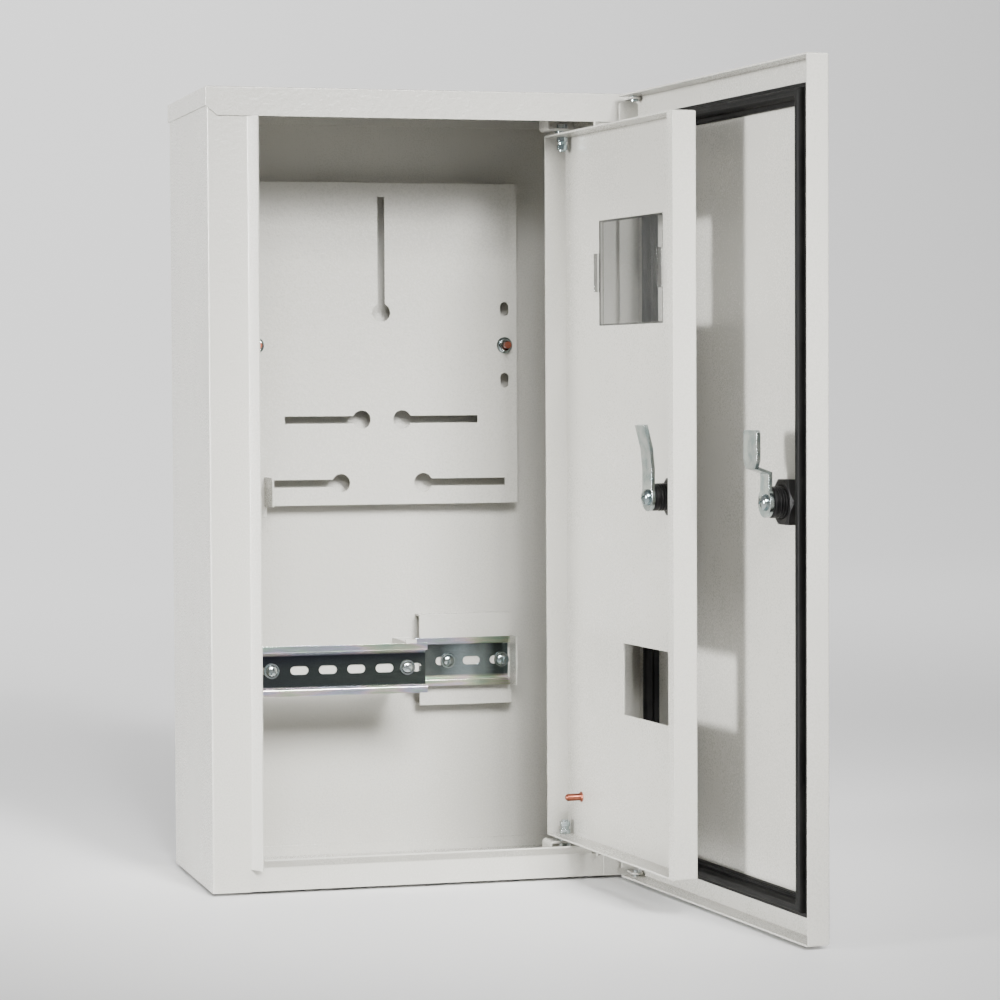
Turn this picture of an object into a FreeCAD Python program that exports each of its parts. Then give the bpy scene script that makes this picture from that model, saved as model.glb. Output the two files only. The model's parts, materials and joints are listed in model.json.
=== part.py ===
"""Electric meter box for a wall, with an outer door and an inner door, both standing open.

The box is folded from sheet steel. The design frame starts at the bottom left front corner of
the body: x to the right, y to the back, z up. Every piece is placed so that the part's origin
is the centre of the four wall fixing holes, on the rear face.
"""
import FreeCAD, Part
import math
import os
import re

import Sketcher

Vector = FreeCAD.Vector
doc = FreeCAD.newDocument("meter_box")
sizes = doc.addObject("Spreadsheet::Sheet", "sizes")

DRIVING_SIZES = {
    # the body
    "body_width": 300,
    "body_height": 540,
    "body_depth": 150,
    "gauge": 1.2,
    "bend_radius": 1.6,
    "flange_wide": 27,
    "lip_in": 5.5,
    "lip_out": 8,
    "roof_flange": 19.5,
    "roof_skirt": 13,
    "roof_corner": 7,
    "wall_hole_bore": 9,
    "wall_hole_side": 15,
    "wall_hole_end": 25,
    # the base tray and its cable holes
    "tray_front": 16,
    "tray_rear": 8.6,
    "tray_side": 12,
    "cable_hole": 34,
    "cable_bore": 24,
    "cable_pitch": 75,
    "cable_back": 66,
    "grommet_rim": 4,
    "grommet_thick": 2.4,
    "grommet_edge": 1.2,
    # the meter plate and what holds it
    "plate_wide": 202,
    "plate_tall": 231,
    "plate_thick": 1.5,
    "plate_top_gap": 54.5,
    "plate_standoff": 12.3,
    "key_hole": 13.3,
    "key_slot": 5.3,
    "key_top_long": 83,
    "key_top_edge": 10.1,
    "key_mid_hole": 15,
    "key_mid_end": 71.3,
    "key_mid_up": 61.1,
    "key_low_hole": 30.4,
    "key_low_end": 91.5,
    "key_low_up": 15.6,
    "fixing_slot_wide": 6.2,
    "fixing_slot_long": 10.6,
    "fixing_slot_lift": 25,
    "fixing_slot_drop": 26.4,
    "stud_edge": 9.3,
    "stud_drop": 1,
    "stud_bore": 5,
    "stud_play": 0.3,
    "stud_reach": 24,
    "weld_disc": 7.4,
    "weld_disc_high": 0.8,
    "sleeve_bore": 7.6,
    "sleeve_wide": 10,
    "nut_flats": 8,
    "nut_flange": 11.8,
    "nut_flange_high": 1.2,
    "nut_high": 5,
    "tab_inset": 1,
    "tab_wide": 15,
    "tab_foot": 36,
    "tab_below": 8,
    "tab_out": 29,
    "tab_tall": 21,
    "tab_corner": 3,
    # the two mounting rails
    "rail_tall": 35,
    "rail_deep": 7.5,
    "rail_mouth": 25,
    "rail_gauge": 1,
    "slot_long": 12.8,
    "slot_wide": 6,
    "slot_pitch": 20.3,
    "front_rail_start": 46,
    "front_rail_long": 119.6,
    "front_rail_standoff": 75.3,
    "front_rail_drop": 112.5,
    "front_slot_end": 9.2,
    "front_screw_left": 9.4,
    "front_screw_right": 13.1,
    "rail_gap": 6.4,
    "rear_rail_long": 71,
    "rear_rail_standoff": 13.3,
    "rear_rail_lower": 1.8,
    "rear_slot_end": 7.2,
    "rear_screw_left": 45,
    "rear_screw_right": 5,
    "bracket_gauge": 1.5,
    "bridge_tall": 30,
    "bridge_inset": 4,
    "bridge_foot": 12,
    "bridge_ear_wide": 8,
    "bridge_ear_high": 4.5,
    "bridge_ear_inset": 2,
    "rear_bracket_above": 34,
    "rear_bracket_below": 32,
    "rear_bracket_inset": 5,
    "rear_bracket_past": 3,
    "rear_ear_ahead": 17.5,
    "screw_bore": 5,
    "screw_head": 11.2,
    "screw_head_high": 2.6,
    "screw_round": 1.4,
    "screw_reach": 8,
    "recess_arm": 2.6,
    "recess_wide": 1.1,
    "recess_deep": 1.3,
    # the outer door, its pins and its gasket
    "door_deep": 15,
    "door_top_gap": 1.4,
    "door_inset": 6,
    "door_front_gap": 3.6,
    "pin_bore": 5,
    "pin_head_rim": 1.5,
    "pin_head_high": 0.9,
    "pin_past": 1.5,
    "notch_past": 2.5,
    "running_gap": 0.05,
    "open_angle": 94.5,
    "ear_radius": 4.5,
    "ear_neck": 6,
    "ear_gap": 0.6,
    "gasket_wide": 13,
    "gasket_base": 4,
    "gasket_rib": 7,
    "seal_gap": 0.4,
    "gasket_free_out": 0.6,
    "gasket_hinge_in": 3,
    "gasket_above": 2.5,
    "gasket_below": 4,
    # the locks
    "outer_lock_side": 50,
    "outer_lock_drop": 2.5,
    "outer_lock_bore": 20,
    "outer_nut_wall": 4,
    "outer_nut_high": 8,
    "outer_barrel": 16,
    "inner_lock_side": 33,
    "inner_lock_drop": 2,
    "inner_lock_bore": 18,
    "inner_nut_wall": 3,
    "inner_nut_high": 5,
    "inner_barrel": 16.5,
    "housing_rim": 4,
    "housing_face": 3.5,
    "housing_round": 1.2,
    "rotor_bore": 12,
    "rotor_proud": 0.8,
    "rotor_square": 7,
    "cam_gauge": 2.5,
    "cam_crank": 9.5,
    "outer_hub": 19,
    "outer_arm": 13,
    "blade_wide": 20,
    "blade_start": 20.6,
    "blade_end": 44.5,
    "blade_corner": 1.5,
    "inner_hub": 18,
    "inner_arm": 16,
    "inner_arm_end": 46.8,
    "inner_bow": 5,
    "cam_screw_head": 10.4,
    "cam_screw_high": 3.2,
    "outer_strike_wide": 20,
    "outer_strike_tall": 46,
    "outer_strike_side": 3,
    "strike_gap": 0.7,
    "inner_strike_past": 7,
    "inner_strike_tall": 38,
    "inner_strike_foot": 22,
    # the inner door and its hinges
    "inner_free_gap": 3.2,
    "inner_hinge_gap": 3.8,
    "inner_bottom": 25.2,
    "inner_top_gap": 27,
    "inner_deep": 16.5,
    "inner_set_back": 18.5,
    "inner_inset": 10,
    "inner_pin_face": 7.1,
    "inner_hem": 8,
    "hinge_gap": 2.4,
    "hinge_play": 0.1,
    "spacer_wide": 10,
    "hinge_nut_flats": 6.6,
    "barrel_nut_high": 9.2,
    "bolt_head_high": 3.4,
    "bolt_past": 1,
    "hinge_arm_side": 13.5,
    "hinge_arm_front": 10,
    "hinge_arm_rear": 11,
    "hinge_bend": 3,
    "hinge_top_foot": 14,
    "hinge_bottom_foot": 24,
    "window_shift": 5.8,
    "window_wide": 112,
    "window_top_gap": 61.7,
    "window_tall": 71.3,
    "pane_rim": 6,
    "pane_rim_high": 1.6,
    "pane_play": 0.2,
    "snap_start": 23,
    "snap_long": 26,
    "snap_high": 4,
    "snap_hook": 1.1,
    "cutout_shift": 1.1,
    "cutout_wide": 108,
    "cutout_lift": 1,
    "cutout_tall": 48,
    "earth_in": 27,
    "earth_rise": 54.2,
    "earth_long": 12,
}

WORKED_OUT_SIZES = {
    "lip_length": "=sqrt(lip_in ^ 2 + lip_out ^ 2)",
    "lip_tip_x": "=gauge * lip_out / lip_length",
    "lip_tip_y": "=gauge * lip_in / lip_length",
    "lip_bend": "=gauge * (lip_length - lip_in) / lip_out",
    "door_height": "=body_height - door_top_gap",
    "door_pin_ahead": "=door_deep - door_inset + door_front_gap",
    "plate_face": "=body_depth - gauge - plate_standoff - plate_thick",
    "plate_rise": "=body_height - plate_top_gap - plate_tall / 2",
    "plate_bottom": "=plate_rise - plate_tall / 2",
    "key_top_end": "=plate_rise + plate_tall / 2 - key_top_edge",
    "stud_out": "=plate_wide / 2 - stud_edge",
    "front_rail_face": "=body_depth - gauge - front_rail_standoff - rail_deep",
    "rear_rail_face": "=body_depth - gauge - rear_rail_standoff - rail_deep",
    "front_rail_rise": "=plate_bottom - front_rail_drop",
    "rear_rail_rise": "=front_rail_rise - rear_rail_lower",
    "rear_rail_start": "=front_rail_start + front_rail_long + rail_gap",
    "rail_half": "=rail_tall / 2",
    "mouth_half": "=rail_mouth / 2",
    "ear_top": "=door_height - gauge - ear_gap",
    "panel_inside": "=gauge - door_inset",
    "gasket_high": "=door_pin_ahead - panel_inside - lip_out - seal_gap",
    "outer_lock_in": "=body_width - outer_lock_side",
    "outer_lock_rise": "=body_height / 2 - outer_lock_drop",
    "inner_lock_rise": "=body_height / 2 - inner_lock_drop",
    "mouth_edge": "=flange_wide + lip_in",
    "inner_pin_side": "=mouth_edge + inner_hinge_gap + inner_inset",
    "inner_pin_back": "=inner_set_back + inner_pin_face",
    "inner_right": "=body_width - inner_pin_side + inner_inset",
    "inner_width": "=inner_right - mouth_edge - inner_free_gap",
    "inner_lock_in": "=inner_width - inner_lock_side",
    "inner_panel_inside": "=gauge - inner_pin_face",
    "inner_top": "=body_height - inner_top_gap",
    "window_in": "=inner_right - body_width / 2 + window_shift - window_wide / 2",
    "window_bottom": "=inner_top - window_top_gap - window_tall",
    "cutout_middle": "=front_rail_start + front_rail_long / 2 - cutout_shift",
    "cutout_in": "=inner_right - cutout_middle - cutout_wide / 2",
    "cutout_bottom": "=front_rail_rise - cutout_tall / 2 + cutout_lift",
}

for row, (alias, content) in enumerate({**DRIVING_SIZES, **WORKED_OUT_SIZES}.items(), start=1):
    cell = f"A{row}"
    sizes.set(cell, str(content))
    sizes.setAlias(cell, alias)
    doc.recompute()

ALIASES = set(DRIVING_SIZES) | set(WORKED_OUT_SIZES)
PLANE_OFFSET_SIGN = {"XY": 1, "XZ": -1, "YZ": 1}
pieces = []


def linked(formula):
    """The formula with each size written as a cell of the sheet."""
    def as_cell(found):
        word = found.group(0)
        return f"sizes.{word}" if word in ALIASES else word
    return re.sub(r"[a-z_]+[a-z_0-9]*", as_cell, str(formula))


def number(formula):
    """What a formula comes to now."""
    return float(sizes.evalExpression(linked(formula)))


def rectangle(left, bottom, right, top):
    """The outline of a rectangle, as a closed shape for a sketch."""
    return ("outline", [(left, bottom), (right, bottom), (right, top), (left, top)])


def circle(across, up, radius):
    """A round shape for a sketch."""
    return ("circle", across, up, radius)


def hexagon(across, up, flats):
    """A hexagon with a corner at each side."""
    corners = []
    for step in range(6):
        angle = math.radians(60 * step)
        reach_x = math.cos(angle) / math.sqrt(3)
        reach_y = math.sin(angle) / math.sqrt(3)
        corners.append((f"({across}) + ({flats}) * {reach_x:.9f}", f"({up}) + ({flats}) * {reach_y:.9f}"))
    return ("outline", corners)


def cross(across, up, arm, width):
    """The plus-shaped outline of a screwdriver recess."""
    half = f"({width}) / 2"
    quarter = [(arm, half), (half, half), (half, arm)]
    corners = []
    for turn in range(4):
        for first, second in quarter:
            spots = [(first, second), (f"-({second})", first), (f"-({first})", f"-({second})"),
                     (second, f"-({first})")]
            reach_x, reach_y = spots[turn]
            corners.append((f"({across}) + ({reach_x})", f"({up}) + ({reach_y})"))
    return ("outline", corners)


def fix_point(sketch, geometry, point, across, up):
    """Hold one point of a sketch at a place worked out from the sheet."""
    for kind, formula in (("DistanceX", across), ("DistanceY", up)):
        held = sketch.addConstraint(Sketcher.Constraint(kind, -1, 1, geometry, point, number(formula)))
        sketch.setExpression(f"Constraints[{held}]", linked(formula))


def add_outline(sketch, corners):
    """Draw a closed run of straight lines."""
    first = sketch.GeometryCount
    spots = [Vector(number(across), number(up), 0) for across, up in corners]
    for index, spot in enumerate(spots):
        sketch.addGeometry(Part.LineSegment(spot, spots[(index + 1) % len(spots)]))
    for index in range(len(spots)):
        following = first + (index + 1) % len(spots)
        sketch.addConstraint(Sketcher.Constraint("Coincident", first + index, 2, following, 1))
    for index, (across, up) in enumerate(corners):
        fix_point(sketch, first + index, 1, across, up)


def add_circle(sketch, across, up, radius):
    """Draw a circle."""
    centre = Vector(number(across), number(up), 0)
    drawn = sketch.addGeometry(Part.Circle(centre, Vector(0, 0, 1), number(radius)))
    fix_point(sketch, drawn, 3, across, up)
    held = sketch.addConstraint(Sketcher.Constraint("Radius", drawn, number(radius)))
    sketch.setExpression(f"Constraints[{held}]", linked(radius))


def draw(body, plane, shapes, offset):
    """A sketch on one of the body's own planes, moved along the plane's normal."""
    sketch = body.newObject("Sketcher::SketchObject", f"{body.Name}_sketch")
    support = next(item for item in body.Origin.OriginFeatures if item.Role == f"{plane}_Plane")
    sketch.AttachmentSupport = [(support, "")]
    sketch.MapMode = "FlatFace"
    sketch.setExpression("AttachmentOffset.Base.z", linked(offset))
    for kind, *values in shapes:
        if kind == "outline":
            add_outline(sketch, values[0])
        else:
            add_circle(sketch, *values)
    return sketch


def pad(body, plane, shapes, low, high):
    """Add material between two places along the plane's axis."""
    start = low if PLANE_OFFSET_SIGN[plane] > 0 else f"-({high})"
    feature = body.newObject("PartDesign::Pad", f"{body.Name}_pad")
    feature.Profile = draw(body, plane, shapes, start)
    feature.setExpression("Length", linked(f"({high}) - ({low})"))
    doc.recompute()
    return feature


def cut(body, plane, shapes, low, high):
    """Take material away between two places along the plane's axis."""
    before = body.Shape.Volume
    middle = f"{PLANE_OFFSET_SIGN[plane]} * (({low}) + ({high})) / 2"
    feature = body.newObject("PartDesign::Pocket", f"{body.Name}_cut")
    feature.Profile = draw(body, plane, shapes, middle)
    feature.Midplane = True
    feature.setExpression("Length", linked(f"({high}) - ({low})"))
    doc.recompute()
    if body.Shape.Volume > before - 1e-6:
        raise RuntimeError(f"a cut in {body.Label} takes nothing away")
    return feature


def cut_slots(body, spots, length, width, low, high):
    """Cut slots with round ends, lying along x, through a wall that faces the front."""
    reach = f"(({length}) - ({width})) / 2"
    bars = [rectangle(f"{x} - {reach}", f"{z} - ({width}) / 2", f"{x} + {reach}", f"{z} + ({width}) / 2")
            for x, z in spots]
    ends = [circle(f"{x} {side} {reach}", z, f"({width}) / 2") for x, z in spots for side in "+-"]
    cut(body, "XZ", bars, low, high)
    cut(body, "XZ", ends[0::2], low, high)
    cut(body, "XZ", ends[1::2], low, high)


def turned(body, corners):
    """Turn an outline, drawn as radius and height, about the upright axis."""
    feature = body.newObject("PartDesign::Revolution", f"{body.Name}_turn")
    sketch = draw(body, "XZ", [("outline", corners)], "0")
    feature.Profile = sketch
    feature.ReferenceAxis = (sketch, ["V_Axis"])
    feature.Angle = 360
    doc.recompute()
    return feature


def soften(body, radius, wanted):
    """Round every edge of the body that the given test picks."""
    tip = body.Tip
    names = [f"Edge{index}" for index, edge in enumerate(tip.Shape.Edges, start=1) if wanted(edge)]
    if not names:
        raise RuntimeError(f"no edge to round in {body.Label}")
    feature = body.newObject("PartDesign::Fillet", f"{body.Name}_round")
    feature.Base = (tip, names)
    feature.setExpression("Radius", linked(radius))
    doc.recompute()
    return feature


def slope_rim(body, depth, height):
    """Chamfer the round rims of the body that lie at a height along y."""
    tip = body.Tip
    level = number(height)
    names = [f"Edge{index}" for index, edge in enumerate(tip.Shape.Edges, start=1)
             if edge.Curve.TypeId == "Part::GeomCircle" and edge.BoundBox.YLength < 0.01
             and abs(edge.BoundBox.YMin - level) < 0.01]
    if not names:
        raise RuntimeError(f"no rim to chamfer in {body.Label}")
    feature = body.newObject("PartDesign::Chamfer", f"{body.Name}_rim")
    feature.Base = (tip, names)
    feature.setExpression("Size", linked(depth))
    doc.recompute()
    return feature


def runs_along(edge, axis):
    """Whether a straight edge runs along x, y or z."""
    if edge.Curve.TypeId != "Part::GeomLine":
        return False
    ends = [vertex.Point for vertex in edge.Vertexes]
    step = ends[1] - ends[0]
    return abs(abs(getattr(step, axis)) - step.Length) < 1e-6


def is_at(edge, spots, first, second):
    """Whether an edge's middle lies at one of the spots, given on two axes."""
    middle = edge.BoundBox.Center
    for one, other in spots:
        off_first = abs(getattr(middle, first) - number(one))
        off_second = abs(getattr(middle, second) - number(other))
        if off_first < 0.01 and off_second < 0.01:
            return True
    return False


GROUPS = {
    "body": ("0", "0", "0"),
    "outer": ("body_width - door_inset", "-door_pin_ahead", "open_angle"),
    "inner": ("body_width - inner_pin_side", "inner_pin_back", "open_angle"),
}


def piece(label, group="body", across="0", back="0", up="0"):
    """A new sub-part, placed in the frame of the body or of the door that carries it."""
    body = doc.addObject("PartDesign::Body", label)
    body.Label = label
    body.AllowCompound = True
    base_x, base_y, angle = GROUPS[group]
    if angle != "0":
        body.Placement = FreeCAD.Placement(Vector(0, 0, 0), FreeCAD.Rotation(Vector(0, 0, 1), 1))
        body.setExpression("Placement.Rotation.Angle", linked(angle))
    turned_x = f"cos({angle}) * ({across}) - sin({angle}) * ({back})"
    turned_y = f"sin({angle}) * ({across}) + cos({angle}) * ({back})"
    body.setExpression("Placement.Base.x", linked(f"{base_x} - body_width / 2 + {turned_x}"))
    body.setExpression("Placement.Base.y", linked(f"{base_y} - body_depth + {turned_y}"))
    body.setExpression("Placement.Base.z", linked(f"({up}) - body_height / 2"))
    pieces.append(body)
    return body


def make_body_shell():
    """The back, both sides and both front flanges with their lips, folded from one sheet."""
    body = piece("body_shell")
    left_outside = [
        ("flange_wide + lip_in", "-lip_out"),
        ("flange_wide", "0"),
        ("0", "0"),
        ("0", "body_depth"),
    ]
    left_inside = [
        ("gauge", "body_depth - gauge"),
        ("gauge", "gauge"),
        ("flange_wide + lip_bend", "gauge"),
        ("flange_wide + lip_in + lip_tip_x", "lip_tip_y - lip_out"),
    ]
    right_outside = [(f"body_width - ({x})", y) for x, y in reversed(left_outside)]
    right_inside = [(f"body_width - ({x})", y) for x, y in reversed(left_inside)]
    profile = left_outside + right_outside + right_inside + left_inside
    pad(body, "XY", [("outline", profile)], "0", "body_height - gauge")
    corners = [("0", "0"), ("body_width", "0"), ("0", "body_depth"), ("body_width", "body_depth"),
               ("flange_wide", "0"), ("body_width - flange_wide", "0")]
    soften(body, "bend_radius", lambda edge: runs_along(edge, "z") and is_at(edge, corners, "x", "y"))
    mouth = ("flange_wide - gauge", "body_width - flange_wide + gauge")
    below = rectangle(mouth[0], "-1", mouth[1], "tray_front - 1")
    above = rectangle(mouth[0], "body_height - roof_flange - 0.2", mouth[1], "body_height")
    cut(body, "XZ", [below, above], "-lip_out - 1", "gauge + 0.5")
    holes = [circle(across, up, "wall_hole_bore / 2")
             for across in ("wall_hole_side", "body_width - wall_hole_side")
             for up in ("wall_hole_end", "body_height - wall_hole_end")]
    cut(body, "XZ", holes, "body_depth - gauge - 1", "body_depth + 1")


def make_roof_cap():
    """The roof: top, side skirts over the body, a front flange and a rear skirt inside."""
    body = piece("roof_cap")
    crossing = [
        ("-gauge", "body_height - roof_skirt"),
        ("-gauge", "body_height"),
        ("body_width + gauge", "body_height"),
        ("body_width + gauge", "body_height - roof_skirt"),
        ("body_width", "body_height - roof_skirt"),
        ("body_width", "body_height - gauge"),
        ("0", "body_height - gauge"),
        ("0", "body_height - roof_skirt"),
    ]
    pad(body, "XZ", [("outline", crossing)], "-gauge", "body_depth")
    front = [
        ("-gauge", "body_height"),
        ("-gauge", "body_height - roof_skirt"),
        ("roof_corner", "body_height - roof_flange"),
        ("body_width - roof_corner", "body_height - roof_flange"),
        ("body_width + gauge", "body_height - roof_skirt"),
        ("body_width + gauge", "body_height"),
    ]
    pad(body, "XZ", [("outline", front)], "-gauge", "0")
    rear = rectangle("gauge", "body_height - roof_skirt", "body_width - gauge", "body_height - gauge")
    pad(body, "XZ", [rear], "body_depth - 2 * gauge", "body_depth - gauge")
    sides = [("-gauge", "-gauge"), ("body_width + gauge", "-gauge")]
    tops = [("-gauge", "body_height"), ("body_width + gauge", "body_height")]
    front_top = [("-gauge", "body_height")]

    def is_outer_fold(edge):
        if runs_along(edge, "z"):
            return is_at(edge, sides, "x", "y")
        if runs_along(edge, "y"):
            return is_at(edge, tops, "x", "z")
        return runs_along(edge, "x") and is_at(edge, front_top, "y", "z")
    soften(body, "gauge * 0.8", is_outer_fold)


def make_base_tray():
    """The floor, with upturned flanges and a lip along the front, and three cable holes."""
    body = piece("base_tray")
    profile = [
        ("gauge", "0"),
        ("gauge", "tray_front"),
        ("gauge - lip_out", "tray_front + lip_in"),
        ("gauge - lip_out + lip_tip_y", "tray_front + lip_in + lip_tip_x"),
        ("2 * gauge", "tray_front + lip_bend"),
        ("2 * gauge", "gauge"),
        ("body_depth - 2 * gauge", "gauge"),
        ("body_depth - 2 * gauge", "tray_rear"),
        ("body_depth - gauge", "tray_rear"),
        ("body_depth - gauge", "0"),
    ]
    pad(body, "YZ", [("outline", profile)], "gauge", "body_width - gauge")
    for start, end in (("gauge", "2 * gauge"), ("body_width - 2 * gauge", "body_width - gauge")):
        side = rectangle("gauge", "0", "body_depth - gauge", "tray_side")
        pad(body, "YZ", [side], start, end)
    clear = "flange_wide + lip_in + gauge + 0.5"
    left_end = rectangle("0", "tray_front - 0.5", clear, "tray_front + 2 * lip_in")
    right_end = rectangle(f"body_width - ({clear})", "tray_front - 0.5", "body_width",
                          "tray_front + 2 * lip_in")
    cut(body, "XZ", [left_end, right_end], "-lip_out", "3 * gauge")
    bend = [("gauge", "tray_front")]
    soften(body, "bend_radius", lambda edge: runs_along(edge, "x") and is_at(edge, bend, "y", "z"))
    holes = [circle(f"body_width / 2 + {step} * cable_pitch", "body_depth - cable_back", "cable_hole / 2")
             for step in (-1, 0, 1)]
    cut(body, "XY", holes, "-1", "gauge + 1")


def make_cable_grommets():
    """A rubber grommet in each cable hole, gripping the floor in its groove."""
    rim = "cable_hole / 2 + grommet_rim"
    section = [
        ("cable_bore / 2", "-1.5 * grommet_thick"),
        (rim, "-grommet_edge"),
        (rim, "0"),
        ("cable_hole / 2", "0"),
        ("cable_hole / 2", "gauge"),
        (rim, "gauge"),
        ("cable_bore / 2", "gauge + grommet_thick"),
    ]
    for step, side in ((-1, "left"), (0, "middle"), (1, "right")):
        body = piece(f"cable_grommet_{side}", "body", f"body_width / 2 + {step} * cable_pitch",
                     "body_depth - cable_back")
        turned(body, section)


def make_meter_plate():
    """The plate that the meter hangs on, with keyhole slots and four fixing slots."""
    body = piece("meter_plate")
    middle = "body_width / 2"
    outline = rectangle(f"{middle} - plate_wide / 2", "plate_bottom",
                        f"{middle} + plate_wide / 2", "plate_rise + plate_tall / 2")
    pad(body, "XZ", [outline], "plate_face", "plate_face + plate_thick")
    through = ("plate_face - 1", "plate_face + plate_thick + 1")
    level_keys = [("key_mid_hole", "key_mid_end", "plate_bottom + key_mid_up"),
                  ("key_low_hole", "key_low_end", "plate_bottom + key_low_up")]
    rounds = [circle(middle, "key_top_end - key_top_long", "key_hole / 2")]
    slots = [rectangle(f"{middle} - key_slot / 2", "key_top_end - key_top_long", f"{middle} + key_slot / 2",
                       "key_top_end")]
    for hole, end, level in level_keys:
        for side in "+-":
            rounds.append(circle(f"{middle} {side} {hole}", level, "key_hole / 2"))
            reach = sorted((f"{middle} {side} {hole}", f"{middle} {side} {end}"), key=number)
            slots.append(rectangle(reach[0], f"{level} - key_slot / 2", reach[1], f"{level} + key_slot / 2"))
    cut(body, "XZ", rounds, *through)
    cut(body, "XZ", slots, *through)
    half = "fixing_slot_wide / 2"
    reach = "(fixing_slot_long - fixing_slot_wide) / 2"
    ends = []
    bars = []
    for side in "+-":
        column = f"{middle} {side} stud_out"
        for level in ("plate_rise + fixing_slot_lift", "plate_rise - fixing_slot_drop"):
            bars.append(rectangle(f"{column} - {half}", f"{level} - {reach}",
                                  f"{column} + {half}", f"{level} + {reach}"))
            ends.append(circle(column, f"{level} - {reach}", half))
            ends.append(circle(column, f"{level} + {reach}", half))
    cut(body, "XZ", bars, *through)
    cut(body, "XZ", ends[0::2], *through)
    cut(body, "XZ", ends[1::2], *through)
    studs = [circle(f"{middle} {side} stud_out", "plate_rise - stud_drop", "stud_bore / 2 + stud_play")
             for side in "+-"]
    cut(body, "XZ", studs, *through)


def make_plate_tab():
    """A small angle on the plate's lower left corner, whose ear points to the front."""
    body = piece("plate_tab")
    left = "body_width / 2 - plate_wide / 2 + tab_inset"
    edge = f"{left} + tab_wide"
    bottom = "plate_bottom"
    pad(body, "XZ", [rectangle(left, f"{bottom} - tab_below", edge, f"{bottom} + tab_foot")],
        "plate_face - bracket_gauge", "plate_face")
    front = "plate_face - tab_out"
    ear = [
        ("plate_face", bottom),
        ("plate_face", f"{bottom} + tab_tall"),
        (f"{front} + tab_corner", f"{bottom} + tab_tall"),
        (front, f"{bottom} + tab_tall - tab_corner"),
        (front, bottom),
    ]
    pad(body, "YZ", [("outline", ear)], f"{edge} - bracket_gauge", edge)


def make_plate_fixings():
    """Weld studs on the back wall, the sleeves on them and the flange nuts in front."""
    spots = [(f"body_width / 2 {side} stud_out", "plate_rise - stud_drop") for side in "+-"]
    wall = "body_depth - gauge"

    def rounds(width):
        return [circle(x, z, f"{width} / 2") for x, z in spots]
    studs = piece("plate_studs")
    pad(studs, "XZ", rounds("weld_disc"), f"{wall} - weld_disc_high", wall)
    pad(studs, "XZ", rounds("stud_bore"), f"{wall} - stud_reach", f"{wall} - weld_disc_high")
    sleeves = piece("plate_sleeves")
    pad(sleeves, "XZ", rounds("sleeve_wide"), "plate_face + plate_thick", wall)
    cut(sleeves, "XZ", rounds("sleeve_bore"), "plate_face", f"{wall} + 1")
    nuts = piece("plate_nuts")
    pad(nuts, "XZ", rounds("nut_flange"), "plate_face - nut_flange_high", "plate_face")
    pad(nuts, "XZ", [hexagon(x, z, "nut_flats") for x, z in spots], "plate_face - nut_high",
        "plate_face - nut_flange_high")
    cut(nuts, "XZ", rounds("stud_bore"), "plate_face - nut_high - 1", "plate_face + 1")


def make_rail(label, start, length, face, rise, slots, last_slot):
    """A slotted mounting rail of hat section, with its mouth to the front."""
    body = piece(label)
    web = "rail_deep - rail_gauge"
    upper = [
        (f"{face} + {web}", f"{rise} + mouth_half"),
        (face, f"{rise} + mouth_half"),
        (face, f"{rise} + rail_half"),
        (f"{face} + rail_gauge", f"{rise} + rail_half"),
        (f"{face} + rail_gauge", f"{rise} + mouth_half + rail_gauge"),
        (f"{face} + rail_deep", f"{rise} + mouth_half + rail_gauge"),
    ]
    lower = [(y, z.replace(f"{rise} +", f"{rise} -").replace("half + rail", "half - rail"))
             for y, z in reversed(upper)]
    pad(body, "YZ", [("outline", upper + lower)], start, f"{start} + {length}")
    folds = [(face, f"{rise} {side} mouth_half") for side in "+-"]
    soften(body, "rail_gauge * 0.9", lambda edge: runs_along(edge, "x") and is_at(edge, folds, "y", "z"))
    spots = [(f"{last_slot} - {step} * slot_pitch", rise) for step in range(slots)]
    cut_slots(body, spots, "slot_long", "slot_wide", f"{face} + {web} - 1", f"{face} + rail_deep + 1")


def make_rail_screws(label, spots, web_face):
    """Two pan head screws that hold a rail to its bracket."""
    body = piece(label)
    front = f"{web_face} - screw_head_high"
    pad(body, "XZ", [circle(x, z, "screw_head / 2") for x, z in spots], front, web_face)
    slope_rim(body, "screw_round", front)
    pad(body, "XZ", [circle(x, z, "screw_bore / 2") for x, z in spots], web_face, f"{web_face} + screw_reach")
    cut(body, "XZ", [cross(x, z, "recess_arm", "recess_wide") for x, z in spots], f"{front} - 1",
        f"{front} + recess_deep")


def make_rails():
    """Both mounting rails with their brackets and screws."""
    front_web = "front_rail_face + rail_deep - rail_gauge"
    rear_web = "rear_rail_face + rail_deep - rail_gauge"
    front_end = "front_rail_start + front_rail_long"
    rear_end = "rear_rail_start + rear_rail_long"
    make_rail("front_rail", "front_rail_start", "front_rail_long", "front_rail_face", "front_rail_rise", 6,
              f"{front_end} - front_slot_end")
    make_rail("rear_rail", "rear_rail_start", "rear_rail_long", "rear_rail_face", "rear_rail_rise", 4,
              f"{rear_end} - rear_slot_end")
    front_screws = [("front_rail_start + front_screw_left", "front_rail_rise"),
                    (f"{front_end} - front_screw_right", "front_rail_rise")]
    rear_screws = [(f"{rear_end} - rear_screw_left", "rear_rail_rise"),
                   (f"{rear_end} - rear_screw_right", "rear_rail_rise")]
    make_rail_screws("front_rail_screws", front_screws, front_web)
    make_rail_screws("rear_rail_screws", rear_screws, rear_web)
    make_front_bridge(front_screws)
    make_rear_bracket(rear_screws)


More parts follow.
